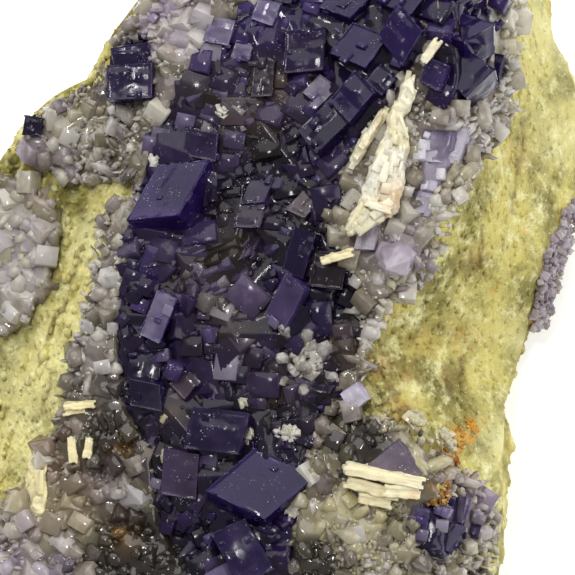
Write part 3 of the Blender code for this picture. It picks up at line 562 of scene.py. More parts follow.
def newGroup(name, inputs, outputs):
    tree = bpy.data.node_groups.new(name, "ShaderNodeTree")
    for socketName, default in inputs.items():
        socket = tree.interface.new_socket(name=socketName, in_out="INPUT", socket_type="NodeSocketFloat")
        socket.default_value = default
    for socketName in outputs:
        tree.interface.new_socket(name=socketName, in_out="OUTPUT", socket_type="NodeSocketFloat")
    return tree, tree.nodes.new("NodeGroupInput"), tree.nodes.new("NodeGroupOutput")


def makeDustGroup():
    # white specks: the spots of a cell pattern, thinned by a middling and a broad noise
    tree, given, result = newGroup("dustSpecks", {"Amount": 0.5, "Speck Scale": 3600.0}, ["Mask", "Height"])
    place = objectPlace(tree)
    spots = addNode(tree, "ShaderNodeTexVoronoi", Vector=place, Scale=given.outputs["Speck Scale"], Randomness=1.0)
    mask = times(tree, stretch(tree, spots.outputs["Distance"], 0.14, 0.30, 1.0, 0.0),
                 stretch(tree, noise(tree, place, 900.0, 2.0), 0.50, 0.60))
    mask = times(tree, mask, stretch(tree, noise(tree, place, 300.0, 4.0), 0.46, 0.62))
    mask = times(tree, mask, given.outputs["Amount"])
    for name in ("Mask", "Height"):
        tree.links.new(mask, result.inputs[name])
    return tree


def makeGrainGroup():
    # uneven grain: a broad and a fine noise for colour, and the fine one plus a cell pattern for height
    tree, given, result = newGroup("mineralGrain", {"Scale": 500.0}, ["Broad", "Fine", "Height"])
    place, scale = objectPlace(tree), given.outputs["Scale"]
    broad = noise(tree, place, times(tree, scale, 0.25), 4.0, 0.6)
    fine = noise(tree, place, times(tree, scale, 2.0), 4.0, 0.7)
    cells = addNode(tree, "ShaderNodeTexVoronoi", Vector=place, Scale=scale, Randomness=1.0)
    height = combine(tree, "ADD", fine, times(tree, cells.outputs["Distance"], 0.6))
    for name, value in (("Broad", broad), ("Fine", fine), ("Height", height)):
        tree.links.new(value, result.inputs[name])
    return tree


dustGroup, grainGroup = makeDustGroup(), makeGrainGroup()


def useGroup(tree, group, **inputs):
    node = tree.nodes.new("ShaderNodeGroup")
    node.node_tree = group
    for name, value in inputs.items():
        node.inputs[name].default_value = value
    return node.outputs


def newMaterial(name, **settings):
    material = bpy.data.materials.new(name)
    material.use_nodes = True
    shader = material.node_tree.nodes["Principled BSDF"]
    for setting, value in settings.items():
        shader.inputs[setting.replace("_", " ")].default_value = value
    return material, material.node_tree, shader


def bump(tree, height, strength, distance, normal=None):
    node = addNode(tree, "ShaderNodeBump", Strength=strength, Distance=distance, Height=height)
    if normal is not None:
        tree.links.new(normal, node.inputs["Normal"])
    return node.outputs[0]


def dress(tree, shader, colour, roughness, normal):
    for name, value in (("Base Color", colour), ("Roughness", roughness), ("Normal", normal)):
        tree.links.new(value, shader.inputs[name])


fluoriteLook = {
    "violet": [(0.0, (0.005, 0.002, 0.022)), (0.35, (0.026, 0.009, 0.100)), (0.65, (0.110, 0.066, 0.265)),
               (1.0, (0.38, 0.33, 0.50))],
    "smoky": [(0.0, (0.003, 0.002, 0.004)), (0.35, (0.010, 0.007, 0.010)), (0.65, (0.062, 0.050, 0.054)),
              (1.0, (0.40, 0.37, 0.36))],
    "paleViolet": [(0.0, (0.10, 0.06, 0.22)), (0.5, (0.40, 0.33, 0.56)), (1.0, (0.78, 0.72, 0.88))],
    "paleSmoky": [(0.0, (0.16, 0.13, 0.16)), (0.5, (0.46, 0.42, 0.46)), (1.0, (0.84, 0.82, 0.84))],
    "warm": (0.15, 0.10, 0.045), "frost": (0.80, 0.79, 0.86),
}


def makeFluorite(name, smoky, violet, transmission, roughness, dust, sheen):
    # dark to pale by the tone value, smoky to violet and to brown by values of their own, with white dust
    material, tree, shader = newMaterial(
        name, IOR=1.434, Transmission_Weight=transmission, Roughness=roughness, Specular_IOR_Level=sheen)
    place, specks = objectPlace(tree), useGroup(tree, dustGroup, Amount=dust)
    tone = shaken(tree, readValue(tree, "tone"), noise(tree, place, 330.0), 0.5)
    smokyRamp, violetRamp = (ramp(tree, tone, fluoriteLook[kind]) for kind in (smoky, violet))
    colour = tint(tree, mixColour(tree, readValue(tree, "violet"), smokyRamp, violetRamp), fluoriteLook, "warm")
    colour = overlay(tree, colour, fluoriteLook, [(specks["Mask"], "frost")])
    uneven = stretch(tree, noise(tree, place, 700.0, 4.0), 0.4, 0.75, roughness, roughness + 0.22)
    normal = bump(tree, noise(tree, place, 1500.0, 5.0, 0.7), 0.12, 0.00012)
    dress(tree, shader, colour, combine(tree, "ADD", uneven, times(tree, specks["Mask"], 0.5)),
          bump(tree, specks["Height"], 0.5, 0.00006, normal))
    return material


quartzLook = {"milky": (0.93, 0.90, 0.84), "grey": (0.375, 0.315, 0.275), "dark": (0.020, 0.014, 0.014),
              "lilac": (0.52, 0.41, 0.62), "cream": (0.76, 0.68, 0.38), "stain": (0.45, 0.25, 0.05)}


def makeQuartz(name, transmission, roughness):
    # milky to dark by the tone value; lilac, cream and stain are laid on by values of their own
    material, tree, shader = newMaterial(name, IOR=1.544, Transmission_Weight=transmission, Roughness=roughness)
    grain = useGroup(tree, grainGroup, Scale=900.0)
    tone = shaken(tree, readValue(tree, "tone"), noise(tree, objectPlace(tree), 420.0, 4.0, 0.65), 1.5)
    colour = ramp(tree, tone, [(0.0, quartzLook["milky"]), (0.45, quartzLook["grey"]), (1.0, quartzLook["dark"])])
    dress(tree, shader, tint(tree, colour, quartzLook, "lilac", "cream", "stain"),
          stretch(tree, grain["Fine"], 0.35, 0.75, roughness * 0.5, roughness + 0.14),
          bump(tree, grain["Height"], 0.10, 0.0001))
    return material


rockLook = {
    "olive": (0.24, 0.21, 0.05), "straw": (0.64, 0.555, 0.16), "pale": (0.90, 0.87, 0.46), "grey": (0.42, 0.41, 0.17),
    # the bright yellow is painted light, and the dark brown is painted shade in the cracks
    "paintedLight": (0.97, 0.88, 0.38), "ochre": (0.46, 0.27, 0.045), "iron": (0.76, 0.38, 0.05), "rust": (0.30, 0.095, 0.010),
    "crackShade": (0.15, 0.10, 0.03)}


def makeRock():
    # olive, straw and pale grains mixed by noise of three sizes, with fine pale specks as a painted sparkle; iron and
    # rust where their values are high, paler rock that along the rim is partly a painted glow, a bright yellow painted
    # light on the left strip and the right flank, and painted shade along the cracks
    material, tree, shader = newMaterial("yellowHostRock", Roughness=0.85, Specular_IOR_Level=0.35)
    grain = useGroup(tree, grainGroup, Scale=1300.0)
    # the object's place turned onto the face and pressed flat, so that the steep flank isn't streaked
    turned = addNode(
        tree, "ShaderNodeVectorRotate", {"rotation_type": "X_AXIS"}, Vector=objectPlace(tree), Angle=-view["lean"])
    pressed = addNode(tree, "ShaderNodeMapping", Vector=turned.outputs[0], Scale=(1.0, 1.0, 0.4)).outputs[0]
    place = mixColour(tree, readValue(tree, "side"), pressed, objectPlace(tree))

    def patches(scale, detail, roughness, low, high, toLow=0.0, toHigh=1.0):
        return stretch(tree, noise(tree, place, scale, detail, roughness), low, high, toLow, toHigh)
    iron = times(tree, stretch(tree, shaken(tree, readValue(tree, "iron"), grain["Broad"], 1.6), 0.42, 0.8),
                 stretch(tree, readValue(tree, "iron"), 0.02, 0.2))
    rust = times(tree, readValue(tree, "rust"), patches(800.0, 5.0, 0.75, 0.38, 0.62, 0.15, 1.2))
    colour = overlay(tree, rockLook["olive"], rockLook, [
        (patches(150.0, 5.0, 0.65, 0.38, 0.60), "straw"),
        (patches(420.0, 4.0, 0.7, 0.48, 0.72), "pale"),
        (patches(900.0, 5.0, 0.75, 0.56, 0.74), "grey"),
        (stretch(tree, grain["Fine"], 0.58, 0.8, 0.0, 0.55), "olive"),
        (patches(260.0, 6.0, 0.7, 0.56, 0.70, 0.0, 0.6), "ochre"),  # veins
        # the last layer is a painted sparkle: fine pale specks that stand in for glints
        (patches(2600.0, 2.0, 0.55, 0.62, 0.72, 0.0, 0.6), "pale")])  # sparkle
    colour = tint(tree, colour, rockLook, "pale", "paintedLight")
    # iron and rust stains, then painted shade along the cracks
    colour = tint(tree, overlay(tree, colour, rockLook, [(iron, "iron"), (rust, "rust")]), rockLook, "crackShade")
    dress(tree, shader, colour, stretch(tree, grain["Fine"], 0.3, 0.7, 0.55, 0.95),
          bump(tree, grain["Height"], 0.7, 0.0003))
    return material


bariteLook = {"cream": (0.76, 0.68, 0.44), "white": (0.86, 0.81, 0.65), "shade": (0.50, 0.41, 0.24),
              "stain": (0.58, 0.30, 0.10), "yellow": (0.82, 0.68, 0.27)}


def makeBarite():
    # cream with whiter and darker streaks, yellow and brown where their values are high, with a fine grain
    material, tree, shader = newMaterial("creamBarite", Roughness=0.45, Subsurface_Weight=0.25, Subsurface_Scale=0.0006)
    shader.inputs["Subsurface Radius"].default_value = (1.0, 0.8, 0.5)
    grain = useGroup(tree, grainGroup, Scale=700.0)
    broad, fine = grain["Broad"], grain["Fine"]
    colour = overlay(tree, bariteLook["cream"], bariteLook, [
        (stretch(tree, broad, 0.4, 0.65), "white"),
        (stretch(tree, fine, 0.55, 0.75, 0.0, 0.6), "shade"),
        (times(tree, readValue(tree, "yellow"), stretch(tree, broad, 0.3, 0.7, 0.25, 0.9)), "yellow"),
        (times(tree, readValue(tree, "stain"), stretch(tree, fine, 0.3, 0.6, 0.4, 1.0)), "stain")])
    dress(tree, shader, colour, stretch(tree, fine, 0.3, 0.7, 0.35, 0.7), bump(tree, grain["Height"], 0.35, 0.0002))
    return material


darkFluorite = makeFluorite(
    "violetFluorite", "smoky", "violet", transmission=0.4, roughness=0.09, dust=0.6, sheen=0.25)
paleFluorite = makeFluorite(
    "paleFluorite", "paleSmoky", "paleViolet", transmission=0.35, roughness=0.22, dust=1.0, sheen=0.45)
milkyQuartz = makeQuartz("milkyQuartz", transmission=0.5, roughness=0.05)
clearQuartz = makeQuartz("clearQuartz", transmission=0.7, roughness=0.06)
hostRock = makeRock()
creamBarite = makeBarite()
print("materials made")


# Outlines of the layers, as in the solids

quartzForm = {
    "outline": [(17, -3.2), (24, -5.4), (36, -6.8), (47, -6.4), (51.2, -4.4), (51.5, 0), (51.3, 6), (51, 11.4),
                (48.6, 15.4), (45.8, 19.4), (44.2, 23), (42.4, 27.6), (39, 30.4), (37.3, 32.6), (37, 37.8),
                (35.2, 39.8), (36.6, 41.4), (39.2, 41.6), (42.4, 43.8), (44.8, 46.4), (48, 48.6), (49.3, 53.4),
                (48.4, 58.4), (44.2, 62.8), (33, 64.6), (20, 63.8), (10, 62), (2.2, 59.4), (-2.6, 56), (-4.6, 51),
                (0.4, 50.4), (3, 47.2), (5.2, 43.6), (6.2, 39.6), (7.6, 34.4), (8.8, 29.6), (9.8, 25), (10.8, 21.2),
                (12.8, 18.8), (7.6, 18.6), (4.4, 17), (1.4, 15.6), (2.2, 12.8), (5.2, 10.2), (9.6, 8), (11, 4.6),
                (13.2, 1.8)],
    "leftOutline": [(-3.6, 20.6), (-0.4, 17.6), (2.8, 17.6), (6.4, 19.6), (6, 23), (5.6, 28.8), (4, 32), (0.2, 33.8),
                    (-4.4, 33.6), (-5.8, 30), (-4.8, 25.4)],
    "seamOutline": [(58, 18.4), (57.6, 22), (56, 27), (54.6, 32.6), (52.4, 33), (53.4, 26.8), (55.6, 20.8)],
    "cell": 0.27, "thickness": 1, "grain": 1.5,
    # the crust is painted darker than its points, as shade between them
    "depth": 2, "crustShade": 0.35,  # how far a layer's underside lies below it, how much darker it is than its points
    "sugarPaler": (0.1, 0.35, 0.45),  # how much paler sugar, lowSugar and middle are
    "seamShift": (-0.2, 0, -1.15), "seamLilac": 0.5,
    "base": {"tone": 0.42, "lilac": 0.06, "cream": 0.18, "stain": 0.02},  # away from every zone
    # x, y, radius, value
    "lilac": [(40, 25.4, 2.4, 0.6), (48, 50, 3, 0.5), (2, 26, 4, 0.3), (7, 20, 4, 0.35), (9, 35, 2, 0.3),
              (3, 56, 5, 0.45), (48.4, 47, 2, 0.45), (10, 48, 2.5, 0.3), (45, 15, 2, 0.4), (4, 13, 3, 0.3),
              (-1, 52, 3, 0.4), (17, 2, 3.5, 0.7)],
    "cream": [(36, 52, 5, 0.95), (42, 45, 3, 0.6), (0, 27, 5, 0.35), (50.6, 3, 3, 0.3), (46, 18, 2, 0.35),
              (44, 24, 2, 0.3), (39, 28.5, 1.6, 0.4), (35, 54, 4, 0.6), (38, 58, 4, 0.5), (32, 49, 2, 0.45),
              (42, 46.5, 2, 0.5), (48, 57, 3, 0.4), (9, 11, 3, 0.4), (13, 14, 2, 0.25), (4, 15, 2, 0.4),
              (7, 51, 2.4, 0.6), (10.4, 20.6, 1.6, 0.5), (-1, 29, 2, 0.4), (10, 54, 2, 0.5), (2, 50, 2.4, 0.4),
              (0, 58, 4, 0.3), (16, 0, 2.4, 0.35), (35, 45, 1.6, 0.5)],
    "stain": [(6, 45.6, 3, 0.25), (7, 50, 3.5, 0.25), (0.5, 50, 3, 0.4), (12.6, 44.6, 0.9, 0.8), (8.6, 52, 1, 0.35),
              (17, 41, 0.6, 0.5), (4, 19.6, 1.2, 0.5), (26, 10, 2.4, 0.25), (46.4, 48, 1.2, 0.4),
              (43.6, 48.6, 0.8, 0.7), (12.6, 53.6, 1.4, 0.4)],
    # tone past 1 is painted shade: the near-black hollows beside the barite and the fluorite
    "tone": [(12, 27, 3.5, 0.25), (12, 34, 3.5, 0.35), (10.8, 44.6, 4.2, 1.7), (12, 51, 3.6, 0.6),
             (14, 55.8, 4.6, 2.3), (7, 56, 4, 0.75), (36, 44.6, 2.8, 1.7), (32.2, 56, 2.8, 2.2),
             (49.4, 51, 2.4, -0.5), (42.4, 48.4, 1.6, 0.9), (1, 54, 5, 0.25), (12, 7, 3, 0.3), (8, 12, 4, 0.2),
             (3, 14, 3, 0.15), (13, 15, 3, 0.55), (10, 19, 2, 0.1), (17.5, 2.5, 3.5, -0.25), (50.4, 2, 3.6, -0.6),
             (50, 8, 3, -0.2), (43, 11, 2, 0.5), (46.5, 13, 2.4, -0.2), (41, 22, 3, 0.25), (45, 18.5, 2.5, -0.1),
             (39, 28, 2.4, 0), (36.6, 32, 2, 0.2), (35, 37, 2, 0.5), (33, 45, 3, 0.8), (35, 53, 4, 0.05),
             (42, 45, 2.5, 0.35), (47, 52, 3, 0.5), (40, 58, 4, 0.55), (30, 36, 2.4, 0.2), (1, 26, 5.5, -0.75),
             (4, 20, 2.5, -0.1), (34, 42, 1.8, 1.2), (39.5, 52, 1, 1.1), (41.5, 51.8, 1.2, 1.1),
             (8.4, 41.8, 1.4, 0.7), (2.4, 12.4, 1.2, 0.9), (36, 45, 2.6, 1.5), (32, 56, 2.2, 1.7),
             (11.5, 55.6, 2.8, 1.5), (1.5, 30.6, 3.4, -0.5), (0, 49, 3, -0.2)],
}
fluoriteOutline = [(24, 1), (30, -3.4), (42, -2.8), (42.3, 4.6), (40.2, 8.8), (37.2, 12.6), (34.8, 16.4),
                   (33.6, 20.2), (32.8, 23.4), (34.8, 25.8), (36.2, 28.2), (36.2, 34.6), (34, 38), (32.6, 40.8),
                   (30.8, 46.6), (30, 51), (29.6, 56), (30.4, 61.6), (19.6, 61.8), (18, 56), (15.6, 52), (14.8, 45),
                   (12, 40), (11.6, 33), (12.6, 27), (12.4, 23.4), (14, 19.4), (15.2, 13), (20, 6.4)]
crestOutline = [(43.6, -2.6), (49, -2.2), (49.6, 4), (49.2, 9.4), (46.4, 11.2), (43, 9.8), (43.3, 4)]
rimOutline = [(42.2, 12.8), (46.4, 12.9), (45.6, 16.4), (43.4, 20.6), (41, 20.2), (41.8, 16.4)]
pocketOutline = [(42, 50.2), (46.6, 49.2), (47, 54), (44.4, 56.2), (41.2, 55)]
upperLeftOutline = [(11, 4.6), (15, 3.6), (15.6, 9.6), (10.8, 9.9)]
bariteSpots = [  # kept free of quartz points, so that the blades show
    [(2.6, 44), (4.9, 44.6), (5.3, 48), (5, 52.2), (2.8, 52.4), (2, 48)],
    [(6, 39.6), (9.8, 39.6), (9.8, 42), (6.2, 42)], [(6.5, 43.4), (9.6, 43.4), (9.6, 46.6), (6.5, 46.6)],
    [(34.2, 46.2), (42.6, 47.2), (42.4, 50.4), (35.4, 50.9)]]


# The host rock

rockMarks = {
    # x, y, radius, strength
    "iron": [(46, 43.6, 1.5, 1), (47.2, 42.6, 1, 0.9), (44.6, 45.2, 1.2, 0.7), (51.8, 20.5, 1.2, 0.35),
             (52.4, 22.8, 1.1, 0.5), (50.6, 26, 1, 0.35), (49.7, 28.6, 1.4, 0.4), (44.6, 40.4, 1.8, 0.3),
             (47.6, 41.6, 2.2, 0.4), (50.4, 34, 1.2, 0.3)],
    "rust": [(39.6, 41, 1.5, 0.7), (38, 36.4, 1.3, 0.6), (38.6, 31.6, 1.2, 0.45), (40.6, 37.6, 1.2, 0.4),
             (42, 34, 1.6, 0.3), (52, 16, 1.4, 0.3), (47.4, 26, 1.4, 0.3), (46, 33, 1.2, 0.25),
             (45.2, 37.6, 1.5, 0.25), (43, 49.4, 0.8, 1), (42.6, 48.4, 0.5, 0.7), (44.8, 46, 0.5, 0.5)],
    # painted shade: small dark spots on the cracks
    "crackShade": [(38.6, 40.2, 0.5, 0.8), (40.6, 40.9, 0.7, 0.5), (38, 37, 0.7, 0.5), (46.2, 37.6, 0.4, 0.6),
              (46.4, 36, 0.4, 0.4), (44.9, 39.2, 0.4, 0.6), (37, 35.6, 0.6, 0.4)],
    # pale: paler rock; the marks along the rim are partly a painted glow of light
    "pale": [(56, 2, 5, 0.5), (50.8, 44, 2.4, 0.7), (57, 14, 3, 0.3), (8.6, 24, 3, 0.5), (5, 36, 4, 0.45),
             (4, 45.5, 2.2, 0.4), (-1, 38, 5, 0.3), (52.2, 34, 1.6, 0.5), (55.6, 26, 1.4, 0.4)],
    # painted light: where the rock is brightened as if lit most strongly, on the left strip and parts of the right
    # flank
    "paintedLight": [(12, 21, 2.4, 0.6), (9.6, 26.5, 2.6, 0.6), (6.6, 32, 2.6, 0.6), (4, 38, 2.6, 0.65), (2, 44, 2.4, 0.7),
            (-1, 42, 4, 0.6), (54.5, 12, 3, 0.3), (49, 34, 3, 0.25), (48, 5, 3, 0.2), (4.4, 17.6, 2, 0.5)],
}


def rockValues(x, y):
    # iron and rust, the painted shade of the cracks, pale and the painted light at each place, with the crack lines
    # added to the crack shade
    values = {name: zoneValue(x, y, 0.0, marks) for name, marks in rockMarks.items()}
    # painted shade: darker along the cut crack lines
    values["crackShade"] = np.clip(values["crackShade"] * 0.5 + crackDepth(x, y) * 0.55, 0.0, 1.0)
    return values


crackLines = [
    [(39.8, 39.2), (39.9, 41.9)], [(38.4, 42.2), (40, 41), (42.2, 41.2)], [(46, 36), (46.3, 38.8)],
    [(37.5, 35.8), (38.2, 37.6), (39.5, 39.6)], [(44.7, 38.2), (45.1, 40.4)], [(48.3, 23), (47.8, 27)],
    [(52.6, 12), (51.6, 18), (51, 21)], [(8.2, 25), (6.9, 29.4), (4.6, 34)], [(5.6, 37.2), (3.6, 42)],
    [(10.2, 22.4), (8.9, 26.6)]]


def crackDepth(x, y):
    # 1 along each crack line, falling to 0 four tenths of a millimetre off it, with a wandering place
    flat = np.stack([x, y, 0.0 * x], axis=1)
    x, y = x + layeredNoise(flat, 1.2, 2, 53) * 0.5, y + layeredNoise(flat, 1.2, 2, 59) * 0.5
    nearest = np.min([lineDistance(x, y, line) for line in crackLines], axis=0)
    return np.clip(1.25 - nearest / 0.32, 0.0, 1.0)


def rockNoise(points, name):
    # one of the relief's parts
    size, octaves, seed, height = rockForm[name]
    return layeredNoise(points, size, octaves, seed) * height


def rockTop(x, y):
    # the ground plus coarse lumps and fine crumbs, and on the left strip grooves that run down it
    flat = onFace(x, y, 0.0 * x)
    crumbs = np.abs(rockNoise(flat, "crumbs")) + rockNoise(flat, "specks")
    across, along = x * 0.94 + y * 0.34, y * 0.94 - x * 0.34
    strip = 1.0 / (1.0 + np.exp(np.clip(x - 11.0, -30.0, 30.0)))
    grooves = np.abs(rockNoise(np.stack([across / 1.3, along / 7.0, 0.0 * x], axis=1), "grooves")) * strip
    return ground(x, y) + rockNoise(flat, "lumps") - crumbs - grooves - crackDepth(x, y) * rockForm["crackCut"]


def makeRockPiece():
    # the top as a grid drawn out to the rim, then rings down the side and a fan that closes the base
    centre = rockForm["centre"]
    x, y, quads, ring = discGrid(rockForm["outline"], centre, rockForm["cells"], 0.72)
    top = onFace(x, y, rockTop(x, y))
    values = rockValues(x, y)
    rim = faceToWorld(top[ring]) * 1000.0
    middle = rim.mean(axis=0)
    outward = unit((rim - middle) * [1.0, 1.0, 0.0])
    points, faces, upper = [top], [quads], ring
    rows = rockForm["sideRows"]
    for row in range(1, rows + 1):
        # down the side: the rim drops straight, swells a little and draws in to the base, with broken steps
        down = row / rows
        swell = rockForm["sideSwell"] * math.sin(math.pi * down) * np.minimum(rim[:, 2] / 16.0, 1.0)
        swell = swell - rockForm["baseInset"] * down**2
        spot = rim * [1.0, 1.0, 1.0 - down] + outward * swell[:, None]
        ledges = np.round(rockNoise(spot * [1.0, 1.0, 1.8], "sideLedges")) / rockForm["sideLedges"][3]
        rough = rockNoise(spot, "sideLumps") - np.abs(rockNoise(spot, "sideCrumbs")) + ledges * rockForm["ledgeDepth"]
        spot = spot + outward * (rough * min(down * 6.0, 1.0))[:, None]
        lower = len(top) + (row - 1) * len(ring) + np.arange(len(ring))
        points.append(worldToFace(spot * 0.001))
        faces.append(band(upper, lower))
        upper = lower
    points.append(worldToFace(np.array([[middle[0], middle[1], 0.0]]) * 0.001))
    last = len(top) + rows * len(ring)
    fan = np.stack([upper, np.roll(upper, -1), np.full(len(upper), last)], axis=1)
    points = np.concatenate(points)
    extra = len(points) - len(top)
    values = {name: np.concatenate([value, np.zeros(extra)]) for name, value in values.items()}
    values["side"] = np.concatenate([np.zeros(len(top)), np.ones(extra)])
    flat = points[len(top):]
    values["rust"][len(top):] = np.clip(rockNoise(flat, "sideRust") - 0.75, 0.0, 0.45)
    values["pale"][len(top):] = np.clip(rockNoise(flat, "sidePale") - 0.1, 0.0, 0.7)
    # painted shade: dark crack lines down the side, where no crack is cut
    values["crackShade"][len(top):] = np.clip(1.0 - np.abs(rockNoise(flat, "sideCrackShade")), 0.0, 0.6)
    return shape(points, [np.concatenate(faces), fan], **values)


def rockGrains(outline, spacing, size, seed):
    # small broken grains sunk flat in the rock, some of them paler
    draw = np.random.default_rng(seed)
    x, y = jittered(outline, spacing, draw, 0.3)
    clear = signedDistance(x, y, quartzForm["outline"]) < 0.3
    clear &= signedDistance(x, y, quartzForm["leftOutline"]) < 0.3
    x, y = x[clear], y[clear]
    half = draw.uniform(*size, len(x))[:, None] * draw.uniform(0.6, 1.3, (len(x), 3)) * [1.0, 1.0, 0.6]
    axes = standingAxes(x, y, 0.6, draw) * half[:, :, None]
    origins = onFace(x, y, rockTop(x, y)) - normalAt(x, y) * half[:, 2:] * 0.6
    corners = np.array(list(np.ndindex(2, 2, 2))) * 2.0 - 1.0
    corners = corners * np.array([1.0, 0.8, 0.9, 1.1, 0.9, 1.0, 0.8, 1.1])[:, None]
    ends = [[0, 1, 3, 2], [4, 5, 7, 6], [0, 1, 5, 4], [2, 3, 7, 6], [0, 2, 6, 4], [1, 3, 7, 5]]
    sides = turnOutwards(corners, np.array(ends))
    values = rockValues(x, y)
    chance = draw.random(len(x))
    values["pale"] = np.clip(values["pale"] + np.where(chance > 0.72, (chance - 0.70) * 1.8, 0.0), 0.0, 1.0)
    return copies(corners, [sides], origins, axes, **values)


addPiece("hostRockBlock", makeRockPiece(), hostRock, "host_rock", ["matrix_rock"])
addPiece("hostRockGrains", rockGrains(rockForm["outline"], spacing=0.85, size=(0.15, 0.5), seed=61), hostRock,
         "host_rock")


# Fluorite crystals: nearest corner x and y, how far it stands out, the seen run of two edges with how far the
# first falls away, the hidden edge's length, and tone and warmth

